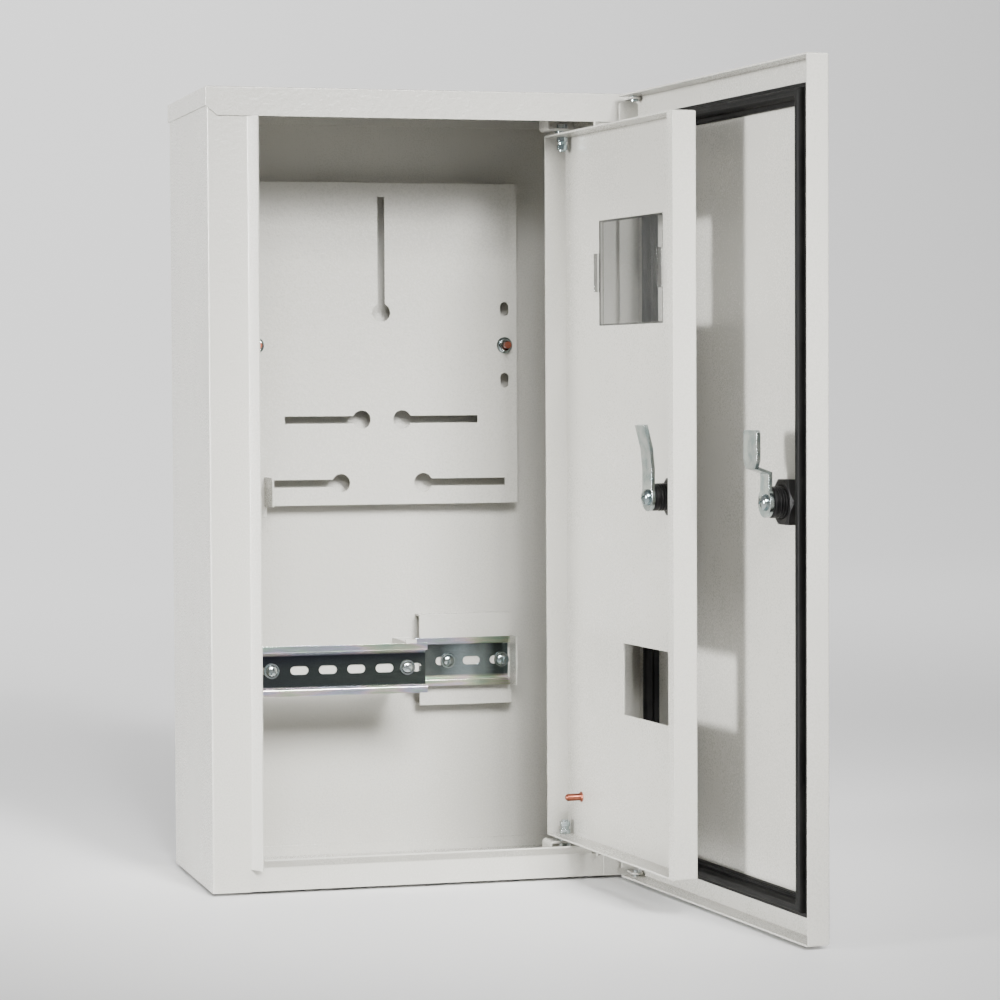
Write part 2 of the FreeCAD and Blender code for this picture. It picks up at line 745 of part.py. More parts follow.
def make_front_bridge(screws):
    """The hat-shaped bridge that holds the front rail away from the back wall."""
    bridge = piece("front_rail_bridge")
    wall = "body_depth - gauge"
    left = "front_rail_start + bridge_inset"
    right = "front_rail_start + front_rail_long - bridge_inset"
    face = "front_rail_face + rail_deep"
    thick = "bracket_gauge"
    hat = [
        (f"{left} - bridge_foot", wall),
        (f"{left} - bridge_foot", f"{wall} - {thick}"),
        (left, f"{wall} - {thick}"),
        (left, face),
        (right, face),
        (right, f"{wall} - {thick}"),
        (f"{right} + bridge_foot", f"{wall} - {thick}"),
        (f"{right} + bridge_foot", wall),
        (f"{right} - {thick}", wall),
        (f"{right} - {thick}", f"{face} + {thick}"),
        (f"{left} + {thick}", f"{face} + {thick}"),
        (f"{left} + {thick}", wall),
    ]
    pad(bridge, "XY", [("outline", hat)], "front_rail_rise - bridge_tall / 2",
        "front_rail_rise + bridge_tall / 2")
    corners = [(left, face), (right, face)]
    soften(bridge, "bend_radius", lambda edge: runs_along(edge, "z") and is_at(edge, corners, "x", "y"))
    ear_right = f"{right} - bridge_ear_inset"
    ear = rectangle(f"{ear_right} - bridge_ear_wide", "front_rail_rise + bridge_tall / 2 - 1", ear_right,
                    "front_rail_rise + bridge_tall / 2 + bridge_ear_high")
    pad(bridge, "XZ", [ear], face, f"{face} + {thick}")
    cut(bridge, "XZ", [circle(x, z, "screw_bore / 2") for x, z in screws], f"{face} - 1",
        f"{face} + 2 * {thick}")


def make_rear_bracket(screws):
    """The channel behind the rear rail, with an ear that points to the front on its right."""
    bracket = piece("rear_rail_bracket")
    wall = "body_depth - gauge"
    thick = "bracket_gauge"
    face = "rear_rail_face + rail_deep"
    low = "rear_rail_rise - rear_bracket_below"
    top = "rear_rail_rise + rear_bracket_above"
    channel = [
        (face, low),
        (face, top),
        (wall, top),
        (wall, f"{top} - {thick}"),
        (f"{face} + {thick}", f"{top} - {thick}"),
        (f"{face} + {thick}", f"{low} + {thick}"),
        (wall, f"{low} + {thick}"),
        (wall, low),
    ]
    right = "rear_rail_start + rear_rail_long + rear_bracket_past"
    pad(bracket, "YZ", [("outline", channel)], "rear_rail_start + rear_bracket_inset", right)
    ear = rectangle(f"{face} - rear_ear_ahead", "rear_rail_rise - rail_half", f"{face} + {thick}",
                    "rear_rail_rise + rail_half")
    pad(bracket, "YZ", [ear], f"{right} - {thick}", right)
    cut(bracket, "XZ", [circle(x, z, "screw_bore / 2") for x, z in screws], f"{face} - 1",
        f"{face} + 2 * {thick}")


def make_outer_hinges():
    """The ears on the body and the pins that the outer door swings on."""
    centre = ("body_width - door_inset", "-door_pin_ahead")
    ends = {
        "top": ("ear_top - bracket_gauge", "ear_top", "-gauge"),
        "bottom": ("gauge + ear_gap", "gauge + ear_gap + bracket_gauge", "0"),
    }
    for side, (low, high, root) in ends.items():
        ear = piece(f"outer_hinge_ear_{side}")
        pad(ear, "XY", [circle(*centre, "ear_radius")], low, high)
        neck = rectangle(f"{centre[0]} - ear_neck / 2", centre[1], f"{centre[0]} + ear_neck / 2", root)
        pad(ear, "XY", [neck], low, high)
        cut(ear, "XY", [circle(*centre, "pin_bore / 2 + running_gap")], f"{low} - 1", f"{high} + 1")
    top_pin = piece("outer_hinge_pin_top", "outer")
    pad(top_pin, "XY", [circle("0", "0", "pin_bore / 2")], "ear_top - bracket_gauge - pin_past",
        "door_height")
    pad(top_pin, "XY", [circle("0", "0", "pin_bore / 2 + pin_head_rim")], "door_height",
        "door_height + pin_head_high")
    bottom_pin = piece("outer_hinge_pin_bottom", "outer")
    pad(bottom_pin, "XY", [circle("0", "0", "pin_bore / 2")], "0",
        "gauge + ear_gap + bracket_gauge + pin_past")
    pad(bottom_pin, "XY", [circle("0", "0", "pin_bore / 2 + pin_head_rim")], "-pin_head_high", "0")


def folded_door(body, left, right, bottom, top, front, back):
    """A door folded as a tray: a panel with a return on all four sides, its corners welded."""
    pad(body, "XZ", [rectangle(left, bottom, right, top)], front, back)
    faces = [(left, front), (right, front)]
    levels = [(front, bottom), (front, top)]
    uprights = [(left, bottom), (left, top), (right, bottom), (right, top)]

    def is_outer_fold(edge):
        if runs_along(edge, "z"):
            return is_at(edge, faces, "x", "y")
        if runs_along(edge, "x"):
            return is_at(edge, levels, "y", "z")
        return runs_along(edge, "y") and is_at(edge, uprights, "x", "z")
    soften(body, "bend_radius", is_outer_fold)
    hollow = rectangle(f"{left} + gauge", f"{bottom} + gauge", f"{right} - gauge", f"{top} - gauge")
    cut(body, "XZ", [hollow], f"{front} + gauge", f"{back} + 1")


def make_outer_door():
    """The outer door, closed in its own frame with the hinge pin at the frame's origin."""
    body = piece("outer_door", "outer")
    left = "door_inset - body_width"
    right = "door_inset"
    back = "door_deep - door_inset"
    folded_door(body, left, right, "0", "door_height", "-door_inset", back)
    clear = "ear_top - bracket_gauge - notch_past"
    low_clear = "gauge + ear_gap + bracket_gauge + notch_past"
    notches = [rectangle("panel_inside", clear, f"{back} + 1", "door_height - gauge"),
               rectangle("panel_inside", "gauge", f"{back} + 1", low_clear)]
    cut(body, "YZ", notches, f"{right} - gauge - 0.2", f"{right} + 1")
    for low, high in (("-1", "gauge + 1"), ("door_height - gauge - 1", "door_height + 1")):
        cut(body, "XY", [circle("0", "0", "pin_bore / 2")], low, high)
    lock = circle("door_inset - outer_lock_in", "outer_lock_rise", "outer_lock_bore / 2")
    cut(body, "XZ", [lock], "-door_inset - 1", "panel_inside + 1")


def make_door_gasket():
    """The rubber seal round the inside of the outer door, a flat base with a round rib."""
    body = piece("door_gasket", "outer")
    left = "door_inset - body_width + flange_wide - gasket_free_out"
    right = "door_inset - flange_wide - gasket_hinge_in"
    top = "door_height - roof_flange - gasket_above"
    bottom = "tray_front + gasket_below"

    def ring(width):
        half = f"({width}) / 2"
        outside = rectangle(f"{left} - {half}", f"{bottom} - {half}", f"{right} + {half}", f"{top} + {half}")
        inside = rectangle(f"{left} + {half}", f"{bottom} + {half}", f"{right} - {half}", f"{top} - {half}")
        return [outside, inside]
    pad(body, "XZ", ring("gasket_wide"), "panel_inside", "panel_inside + gasket_base")
    pad(body, "XZ", ring("gasket_rib"), "panel_inside + gasket_base", "panel_inside + gasket_high")
    outer_corners = [(f"{side} gasket_wide / 2", level) for side in (f"{left} -", f"{right} +")
                     for level in (f"{bottom} - gasket_wide / 2", f"{top} + gasket_wide / 2")]
    soften(body, "gasket_wide / 2 - 1", lambda edge: runs_along(edge, "y")
           and is_at(edge, outer_corners, "x", "z"))
    crest = "panel_inside + gasket_high"
    soften(body, "gasket_rib / 2 - 0.6", lambda edge: abs(edge.BoundBox.YMin - number(crest)) < 0.01
           and abs(edge.BoundBox.YMax - number(crest)) < 0.01)


def make_lock(prefix, group, axis_x, inside, axis_z):
    """The fixed parts of a quarter turn lock and its turning rotor. y is 0 on the panel's inside."""
    place = (group, axis_x, inside, axis_z)
    bore = f"{prefix}_lock_bore"
    barrel = f"{prefix}_barrel"
    nut_high = f"{prefix}_nut_high"
    seat = f"{barrel} + rotor_proud + cam_gauge"
    half = "rotor_square / 2"
    housing = piece(f"{prefix}_lock_housing", *place)
    face = "-gauge - housing_face"
    pad(housing, "XZ", [circle("0", "0", f"{bore} / 2 + housing_rim")], face, "-gauge")
    slope_rim(housing, "housing_round", face)
    pad(housing, "XZ", [circle("0", "0", f"{bore} / 2")], "-gauge", barrel)
    cut(housing, "XZ", [circle("0", "0", "rotor_bore / 2 + running_gap")], f"{face} - 1", f"{barrel} + 1")
    nut = piece(f"{prefix}_lock_nut", *place)
    pad(nut, "XZ", [hexagon("0", "0", f"{bore} + 2 * {prefix}_nut_wall")], "0", nut_high)
    cut(nut, "XZ", [circle("0", "0", f"{bore} / 2")], "-1", f"{nut_high} + 1")
    rotor = piece(f"{prefix}_lock_rotor", *place)
    pad(rotor, "XZ", [circle("0", "0", "rotor_bore / 2")], f"{face} + 0.5", f"{barrel} + rotor_proud")
    pad(rotor, "XZ", [rectangle(f"-{half}", f"-{half}", half, half)], f"{barrel} + rotor_proud", seat)
    key_side = "rotor_bore * 0.3"
    recess = [("outline", [(f"-{key_side}", "-rotor_bore * 0.175"), (key_side, "-rotor_bore * 0.175"),
                           ("0", "rotor_bore * 0.34")])]
    cut(rotor, "XZ", recess, f"{face} - 1", f"{barrel} / 4")
    screw = piece(f"{prefix}_cam_screw", *place)
    pad(screw, "XZ", [circle("0", "0", "cam_screw_head / 2")], seat, f"{seat} + cam_screw_high")
    slope_rim(screw, "cam_screw_high * 0.45", f"{seat} + cam_screw_high")
    cut(screw, "XZ", [cross("0", "0", "recess_arm", "recess_wide")], f"{seat} + cam_screw_high / 2",
        f"{seat} + cam_screw_high + 1")
    return place


def square_hole(cam, low, high):
    """Cut the square hole of a cam, through which the rotor turns it."""
    half = "rotor_square / 2"
    cut(cam, "XZ", [rectangle(f"-{half}", f"-{half}", half, half)], f"{low} - 0.5", f"{high} + 0.5")


def make_outer_lock():
    """The outer lock, with a cranked cam that stands up when the lock is open."""
    place = make_lock("outer", "outer", "door_inset - outer_lock_in", "panel_inside", "outer_lock_rise")
    cam = piece("outer_cam", *place)
    low = "outer_barrel + rotor_proud"
    high = f"{low} + cam_gauge"
    half_arm = "outer_arm / 2"
    foot = "blade_start - 5.1"
    pad(cam, "XZ", [circle("0", "0", "outer_hub / 2")], low, high)
    pad(cam, "XZ", [rectangle(f"-{half_arm}", "0", half_arm, f"{foot} + 2")], low, high)
    crank = [
        (low, foot),
        (high, foot),
        (high, f"{foot} + 2"),
        (f"{high} + cam_crank", "blade_start + 0.4"),
        (f"{high} + cam_crank", "blade_start + 3.4"),
        (f"{low} + cam_crank", "blade_start + 3.4"),
        (f"{low} + cam_crank", "blade_start + 1.6"),
        (low, f"{foot} + 3.2"),
    ]
    pad(cam, "YZ", [("outline", crank)], f"-{half_arm}", half_arm)
    half = "blade_wide / 2"
    end = "blade_end"
    corner = "blade_corner"
    blade = [(f"-{half_arm}", "blade_start"), (half_arm, "blade_start"), (half, "blade_start + 5.4"),
             (half, f"{end} - {corner}"), (f"{half} - {corner}", end), (f"{corner} - {half}", end),
             (f"-{half}", f"{end} - {corner}"), (f"-{half}", "blade_start + 5.4")]
    pad(cam, "XZ", [("outline", blade)], f"{low} + cam_crank", f"{high} + cam_crank")
    square_hole(cam, low, high)


def make_inner_lock():
    """The inner lock, with a long cam that bends away from the panel towards its end."""
    across = "inner_inset - inner_lock_in"
    place = make_lock("inner", "inner", across, "inner_panel_inside", "inner_lock_rise")
    cam = piece("inner_cam", *place)
    low = "inner_barrel + rotor_proud"
    high = f"{low} + cam_gauge"
    pad(cam, "XZ", [circle("0", "0", "inner_hub / 2")], low, high)
    bow = [
        (high, "0"),
        (high, "inner_arm_end * 0.385"),
        (f"{high} + inner_bow * 0.24", "inner_arm_end * 0.663"),
        (f"{high} + inner_bow", "inner_arm_end - 0.8"),
        (f"{low} + inner_bow", "inner_arm_end"),
        (f"{low} + inner_bow * 0.24", "inner_arm_end * 0.673"),
        (low, "inner_arm_end * 0.395"),
        (low, "0"),
    ]
    pad(cam, "YZ", [("outline", bow)], "-inner_arm / 2", "inner_arm / 2")
    square_hole(cam, low, high)


def make_strikes():
    """What the cams catch on: a channel behind the left flange and an angle on the left side."""
    outer = piece("outer_strike")
    right = "flange_wide - outer_strike_side"
    left = f"{right} - outer_strike_wide"
    back = "panel_inside - door_pin_ahead + outer_barrel + rotor_proud + cam_crank - strike_gap"
    channel = [
        (left, "gauge"),
        (left, back),
        (right, back),
        (right, "gauge"),
        (f"{right} - gauge", "gauge"),
        (f"{right} - gauge", f"{back} - gauge"),
        (f"{left} + gauge", f"{back} - gauge"),
        (f"{left} + gauge", "gauge"),
    ]
    pad(outer, "XY", [("outline", channel)], "outer_lock_rise - outer_strike_tall / 2",
        "outer_lock_rise + outer_strike_tall / 2")
    inner = piece("inner_strike")
    tab = "inner_set_back + gauge + inner_barrel + rotor_proud"
    reach = "flange_wide + inner_strike_past"
    angle = [
        ("gauge", tab),
        (reach, tab),
        (reach, f"{tab} + bracket_gauge"),
        ("gauge + bracket_gauge", f"{tab} + bracket_gauge"),
        ("gauge + bracket_gauge", f"{tab} + inner_strike_foot"),
        ("gauge", f"{tab} + inner_strike_foot"),
    ]
    pad(inner, "XY", [("outline", angle)], "inner_lock_rise - inner_strike_tall / 2",
        "inner_lock_rise + inner_strike_tall / 2")


def make_inner_door():
    """The inner door, with a hem on its free side, a window and a cut-out for breakers."""
    body = piece("inner_door", "inner")
    left = "inner_inset - inner_width"
    right = "inner_inset"
    back = "inner_deep - inner_pin_face"
    folded_door(body, left, right, "inner_bottom", "inner_top", "-inner_pin_face", back)
    hem = rectangle(f"{left} + gauge", "inner_bottom + gauge", f"{left} + gauge + inner_hem",
                    "inner_top - gauge")
    pad(body, "XZ", [hem], f"{back} - gauge", back)
    window = rectangle("inner_inset - window_in - window_wide", "window_bottom", "inner_inset - window_in",
                       "window_bottom + window_tall")
    opening = rectangle("inner_inset - cutout_in - cutout_wide", "cutout_bottom", "inner_inset - cutout_in",
                        "cutout_bottom + cutout_tall")
    lock = circle("inner_inset - inner_lock_in", "inner_lock_rise", "inner_lock_bore / 2")
    cut(body, "XZ", [window, opening, lock], "-inner_pin_face - 1", "inner_panel_inside + 1")
    for low, high in (("inner_bottom - 1", "inner_bottom + gauge + 1"),
                      ("inner_top - gauge - 1", "inner_top + 1")):
        cut(body, "XY", [circle("0", "0", "pin_bore / 2")], low, high)


def make_window_pane():
    """The clear pane: a rim outside, a lens in the opening and a snap tab at each side."""
    body = piece("window_pane", "inner")
    right = "inner_inset - window_in"
    left = f"{right} - window_wide"
    top = "window_bottom + window_tall"
    rim = rectangle(f"{left} - pane_rim", "window_bottom - pane_rim", f"{right} + pane_rim",
                    f"{top} + pane_rim")
    pad(body, "XZ", [rim], "-inner_pin_face - pane_rim_high", "-inner_pin_face")
    soften(body, "pane_rim * 0.4", lambda edge: runs_along(edge, "y"))
    lens_left = f"{left} + pane_play"
    lens_right = f"{right} - pane_play"
    lens = rectangle(lens_left, "window_bottom + pane_play", lens_right, f"{top} - pane_play")
    pad(body, "XZ", [lens], "-inner_pin_face", "inner_panel_inside")
    low = "window_bottom + snap_start"
    high = f"{low} + snap_long"
    tabs = [rectangle(lens_left, low, f"{lens_left} + 1.3", high),
            rectangle(f"{lens_right} - 1.3", low, lens_right, high)]
    pad(body, "XZ", tabs, "inner_panel_inside", "inner_panel_inside + snap_high")
    hooks = [rectangle(f"{lens_left} - snap_hook", low, f"{lens_left} + 0.2", high),
             rectangle(f"{lens_right} - 0.2", low, f"{lens_right} + snap_hook", high)]
    pad(body, "XZ", hooks, "inner_panel_inside", "inner_panel_inside + snap_hook")


def make_earth_stud():
    """The copper earth stud welded inside the inner door."""
    body = piece("earth_stud", "inner", "inner_inset - earth_in", "inner_panel_inside", "earth_rise")
    pad(body, "XZ", [circle("0", "0", "weld_disc / 2")], "0", "weld_disc_high")
    pad(body, "XZ", [circle("0", "0", "stud_bore / 2")], "weld_disc_high", "earth_long")
    slope_rim(body, "stud_bore * 0.28", "earth_long")


def make_inner_hinges():
    """Bent brackets between the right side and the roof or floor, and what turns on them."""
    pin = ("body_width - inner_pin_side", "inner_pin_back")
    wall = "body_width - gauge"
    left = f"{pin[0]} - hinge_arm_side"
    front = f"{pin[1]} - hinge_arm_front"
    rear = f"{pin[1]} + hinge_arm_rear"
    top_low = "inner_top + hinge_gap"
    bottom_high = "inner_bottom - hinge_gap"
    brackets = {
        "top": (top_low, f"{top_low} + bracket_gauge", top_low, f"{top_low} + hinge_top_foot",
                top_low, "body_height - gauge", top_low),
        "bottom": (f"{bottom_high} - bracket_gauge", bottom_high, f"{bottom_high} - bracket_gauge",
                   f"{bottom_high} + hinge_bottom_foot", "gauge", bottom_high, bottom_high),
    }
    for side, (low, high, foot_low, foot_high, leg_low, leg_high, corner) in brackets.items():
        bracket = piece(f"inner_hinge_bracket_{side}")
        pad(bracket, "XY", [rectangle(left, front, wall, rear)], low, high)
        pad(bracket, "YZ", [rectangle(front, foot_low, rear, foot_high)], f"{wall} - bracket_gauge", wall)
        pad(bracket, "YZ", [rectangle(front, leg_low, rear, leg_high)], left, f"{left} + bracket_gauge")
        bend = [(left, corner)]
        soften(bracket, "hinge_bend", lambda edge: runs_along(edge, "y") and is_at(edge, bend, "x", "z"))
        cut(bracket, "XY", [circle(*pin, "pin_bore / 2 + running_gap")], f"{low} - 1", f"{high} + 1")
    for side, base, sign in (("top", "inner_top", "+"), ("bottom", "inner_bottom", "-")):
        make_hinge_bolt(side, base, sign)


def between(base, sign, near, far):
    """Two heights at distances from a base, above or below it, the lower one first."""
    ends = [f"{base} {sign} ({near})", f"{base} {sign} ({far})"]
    return ends if sign == "+" else ends[::-1]


def make_hinge_bolt(side, base, sign):
    """A bolt with its head past the bracket, a spacer outside the door and a tall nut inside."""
    shank = circle("0", "0", "pin_bore / 2")
    head = "hinge_gap + bracket_gauge + hinge_play"
    spacer = piece(f"inner_hinge_spacer_{side}", "inner")
    pad(spacer, "XY", [circle("0", "0", "spacer_wide / 2"), shank],
        *between(base, sign, "0", "hinge_gap - hinge_play"))
    nut = piece(f"inner_hinge_nut_{side}", "inner")
    pad(nut, "XY", [hexagon("0", "0", "hinge_nut_flats"), shank],
        *between(base, sign, "-gauge - barrel_nut_high", "-gauge"))
    bolt = piece(f"inner_hinge_bolt_{side}", "inner")
    pad(bolt, "XY", [shank], *between(base, sign, "-gauge - barrel_nut_high - bolt_past", head))
    top = f"{head} + bolt_head_high"
    pad(bolt, "XY", [hexagon("0", "0", "hinge_nut_flats")], *between(base, sign, head, top))


make_body_shell()
make_roof_cap()
make_base_tray()
make_cable_grommets()
make_meter_plate()
make_plate_tab()
make_plate_fixings()
make_rails()
make_outer_hinges()
make_outer_door()
make_door_gasket()
make_outer_lock()
make_inner_door()
make_window_pane()
make_earth_stud()
make_inner_lock()
make_inner_hinges()
make_strikes()

doc.recompute()
for item in doc.Objects:
    if "Invalid" in item.State or "Error" in item.State:
        raise RuntimeError(f"{item.Label} did not build: {item.State}")
for body in pieces:
    if body.Shape.isNull() or not body.Shape.isValid() or not body.Shape.Solids:
        raise RuntimeError(f"{body.Label} has no valid solid")

os.makedirs("parts", exist_ok=True)
for body in pieces:
    body.Shape.exportStep(os.path.join("parts", f"{body.Label}.step"))
    print(f"{body.Label}: {len(body.Shape.Solids)} solid, {body.Shape.Volume / 1000:.2f} cm3")
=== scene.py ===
"""The looks of an electric meter box, dressed around its packed construction.

The box is folded from sheet steel and powder coated. Its two doors stand open, so the photograph
looks into it: a meter plate, two mounting rails, two quarter turn locks and a rubber seal.
All lengths are in metres, in the frame of the construction: x to the right, y into the wall, z up.
"""
import json
import logging
import math
from dataclasses import dataclass
from enum import Enum
from typing import Callable, Sequence

import bpy
from mathutils import Matrix, Vector


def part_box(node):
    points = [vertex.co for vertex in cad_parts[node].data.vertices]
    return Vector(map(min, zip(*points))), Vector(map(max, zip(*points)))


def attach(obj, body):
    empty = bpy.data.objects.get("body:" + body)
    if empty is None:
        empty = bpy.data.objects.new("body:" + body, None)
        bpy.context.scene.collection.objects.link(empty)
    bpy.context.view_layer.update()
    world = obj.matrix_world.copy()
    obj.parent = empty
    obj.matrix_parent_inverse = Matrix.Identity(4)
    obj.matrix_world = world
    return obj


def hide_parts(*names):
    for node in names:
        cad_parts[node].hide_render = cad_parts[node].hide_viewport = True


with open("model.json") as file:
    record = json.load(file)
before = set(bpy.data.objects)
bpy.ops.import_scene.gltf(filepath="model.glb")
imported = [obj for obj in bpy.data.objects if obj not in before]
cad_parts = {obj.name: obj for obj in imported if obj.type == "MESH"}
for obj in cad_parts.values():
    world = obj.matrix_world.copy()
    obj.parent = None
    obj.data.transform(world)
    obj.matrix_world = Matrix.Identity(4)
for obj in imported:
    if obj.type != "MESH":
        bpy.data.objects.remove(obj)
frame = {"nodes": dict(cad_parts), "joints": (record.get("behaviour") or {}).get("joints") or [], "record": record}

log = logging.getLogger("meter_box")

Spot = tuple[float, float, float]
Colour = tuple[float, float, float]
Span = tuple[float, float]
Outline = Sequence[tuple[float, float]]
Stops = Sequence[tuple[float, Colour]]

MM = 0.001
MERGE = 0.000004  # corners nearer to each other than this are one
FLANGE_REACH = 4.0 * MM  # how far a lock's flange stands out past its barrel
NUT_SHARP = 20.0  # a nut's edges that are sharper than this, in degrees, are rounded


class Axis(Enum):
    """The axes that pieces are turned round: into the box, and up."""

    IN = Vector((0.0, 1.0, 0.0))
    UP = Vector((0.0, 0.0, 1.0))


class Signal:
    """A socket of a material's nodes, on which sums are written as plain expressions."""

    def __init__(self, bench: "ShaderBench", socket: bpy.types.NodeSocket) -> None:
        """Keep the socket and the bench that it belongs to."""
        self.bench = bench
        self.socket = socket

    def _sum(self, operation: str, first: "Signal | float", second: "Signal | float") -> "Signal":
        """Add one Math node for an operation on two values."""
        return self.bench.node("ShaderNodeMath", {"operation": operation}, {0: first, 1: second})

    def __add__(self, other: "Signal | float") -> "Signal":
        """This value plus another."""
        return self._sum("ADD", self, other)

    def __sub__(self, other: "Signal | float") -> "Signal":
        """This value less another."""
        return self._sum("SUBTRACT", self, other)

    def __rsub__(self, other: float) -> "Signal":
        """A number less this value."""
        return self._sum("SUBTRACT", other, self)

    def __mul__(self, other: "Signal | float") -> "Signal":
        """This value times another."""
        return self._sum("MULTIPLY", self, other)

    __radd__ = __add__
    __rmul__ = __mul__


class ShaderBench:
    """The node tree of one material, with one way of adding a node."""

    def __init__(self, name: str) -> None:
        """Start a material that holds only its output and a principled shader."""
        self.material = bpy.data.materials.new(name)
        self.material.use_nodes = True
        self.tree = self.material.node_tree
        self.tree.nodes.clear()
        self.shader = self.tree.nodes.new("ShaderNodeBsdfPrincipled")
        output = self.tree.nodes.new("ShaderNodeOutputMaterial")
        self.tree.links.new(self.shader.outputs[0], output.inputs["Surface"])

    def put(self, socket: bpy.types.NodeSocket, value: object) -> None:
        """Set a socket to a value, or link a signal to it.

        Args:
            socket: The input that gets the value.
            value: A number, a colour or a signal.
        """
        if isinstance(value, Signal):
            self.tree.links.new(value.socket, socket)
        elif socket.type == "RGBA" and len(value) == 3:
            socket.default_value = (*value, 1.0)
        else:
            socket.default_value = value

    def node(self, kind: str, settings: dict[str, object], inputs: dict[int | str, object],
             output: int | str = 0) -> Signal:
        """Add a node.

        Args:
            kind: The node's type.
            settings: Its settings, and the stops of a ramp under the name stops.
            inputs: The value or signal of each input, by its name or number.
            output: The output that is wanted.

        Returns:
            The signal of that output.
        """
        made = self.tree.nodes.new(kind)
        for name, value in settings.items():
            if name == "stops":
                self._set_stops(made.color_ramp, value)
            else:
                setattr(made, name, value)
        for key, value in inputs.items():
            self.put(made.inputs[key], value)
        return Signal(self, made.outputs[output])

    def _set_stops(self, ramp: bpy.types.ColorRamp, stops: Stops) -> None:
        """Give a ramp its stops.

        Args:
            ramp: The ramp of a node.
            stops: The place and the colour of each stop.
        """
        while len(ramp.elements) < len(stops):
            ramp.elements.new(1.0)
        for element, (place, colour) in zip(ramp.elements, stops):
            element.position = place
            element.color = (*colour, 1.0)

    def place(self, stretch: Spot = (1.0, 1.0, 1.0)) -> Signal:
        """The place on the object, stretched along its axes as asked."""
        spot = self.node("ShaderNodeTexCoord", {}, {}, "Object")
        return self.node("ShaderNodeMapping", {}, {"Vector": spot, "Scale": stretch})

    def part(self, spot: Signal, axis: str) -> Signal:
        """How far a place is along the axis X, Y or Z."""
        return self.node("ShaderNodeSeparateXYZ", {}, {"Vector": spot}, axis)

    def size(self, value: Signal) -> Signal:
        """A value without its sign."""
        return self.node("ShaderNodeMath", {"operation": "ABSOLUTE"}, {0: value})

    def noise(self, spot: Signal, scale: float, detail: float = 2.0, rough: float = 0.5) -> Signal:
        """Smooth noise of about one bump in each length of 1 / scale."""
        inputs = {"Vector": spot, "Scale": scale, "Detail": detail, "Roughness": rough}
        return self.node("ShaderNodeTexNoise", {}, inputs, "Fac")

    def between(self, value: Signal, span: Span, to: Span = (0.0, 1.0)) -> Signal:
        """Stretch a value from one range to another and keep it inside the second.

        Args:
            value: The value.
            span: The range that it is stretched from.
            to: The range that it is stretched to.

        Returns:
            The stretched value.
        """
        inputs = {"Value": value, "From Min": span[0], "From Max": span[1],
                  "To Min": to[0], "To Max": to[1]}
        return self.node("ShaderNodeMapRange", {}, inputs)

    def blend(self, factor: Signal, first: Signal | Colour, second: Signal | Colour) -> Signal:
        """Mix two colours."""
        inputs = {0: factor, 6: first, 7: second}
        return self.node("ShaderNodeMix", {"data_type": "RGBA"}, inputs, 2)

    def ramp(self, factor: Signal, stops: Stops) -> Signal:
        """The colour at a place along a row of stops."""
        return self.node("ShaderNodeValToRGB", {"stops": stops}, {"Fac": factor})

    def bump(self, height: Signal, depth: float, under: Signal | None = None) -> Signal:
        """A normal that follows a height.

        Args:
            height: The height, from 0 to 1.
            depth: What a height of 1 is, in metres.
            under: The normal that the height is laid on, if it isn't the surface's own.

        Returns:
            The normal.
        """
        inputs = {"Height": height, "Distance": depth, "Strength": 1.0}
        if under is not None:
            inputs["Normal"] = under
        return self.node("ShaderNodeBump", {}, inputs)

    def finish(self, inputs: dict[str, object]) -> bpy.types.Material:
        """Set the shader's own inputs and give back the material."""
        for name, value in inputs.items():
            self.put(self.shader.inputs[name], value)
        return self.material


@dataclass(frozen=True)
class PowderCoat:
    """Light grey powder paint, baked on, whose skin is finely pebbled."""

    name: str = "powder_coat"
    slot: str = "paint"
    colour: Colour = (0.470, 0.461, 0.420)
    shade: Colour = (0.450, 0.441, 0.402)
    clouds: float = 9.0
    pebbles: float = 900.0
    pebble_depth: float = 0.00011
    waves: float = 300.0
    wave_depth: float = 0.00018
    gloss: Span = (0.22, 0.34)
    shine: float = 0.5
    coat: float = 0.25
    coat_gloss: float = 0.2

    def build(self) -> bpy.types.Material:
        """Make the material.

        Returns:
            The material.
        """
        bench = ShaderBench(self.name)
        spot = bench.place()
        pebbles = bench.noise(spot, self.pebbles, 2.0, 0.55)
        waves = bench.noise(spot, self.waves, 1.0)
        clouds = bench.noise(spot, self.clouds, 3.0)
        colour = bench.blend(bench.between(clouds, (0.35, 0.65)), self.colour, self.shade)
        gloss = bench.between(pebbles + clouds, (0.75, 1.25), self.gloss)
        skin = bench.bump(pebbles, self.pebble_depth, bench.bump(waves, self.wave_depth))
        return bench.finish({"Base Color": colour, "Roughness": gloss, "Normal": skin,
                             "Coat Weight": self.coat, "Coat Roughness": self.coat_gloss,
                             "Specular IOR Level": self.shine})


@dataclass(frozen=True)
class ZincPlate:
    """Bright zinc on small stamped and turned parts, with a blue cast and small scuffs."""

    name: str = "zinc_plate"
    slot: str = "zinc"
    colour: Colour = (0.46, 0.50, 0.50)
    cast: Colour = (0.28, 0.35, 0.36)
    stains: float = 160.0
    scuffs: float = 1400.0
    scuff_stretch: Spot = (1.0, 1.0, 0.15)
    scuff_depth: float = 0.00002
    gloss: Span = (0.10, 0.24)

    def build(self) -> bpy.types.Material:
        """Make the material.

        Returns:
            The material.
        """
        bench = ShaderBench(self.name)
        stains = bench.noise(bench.place(), self.stains, 3.0)
        scuffs = bench.noise(bench.place(self.scuff_stretch), self.scuffs, 3.0, 0.7)
        colour = bench.blend(bench.between(stains, (0.4, 0.65)), self.colour, self.cast)
        gloss = bench.between(scuffs + stains, (0.7, 1.3), self.gloss)
        return bench.finish({"Base Color": colour, "Metallic": 1.0, "Roughness": gloss,
                             "Normal": bench.bump(scuffs, self.scuff_depth)})


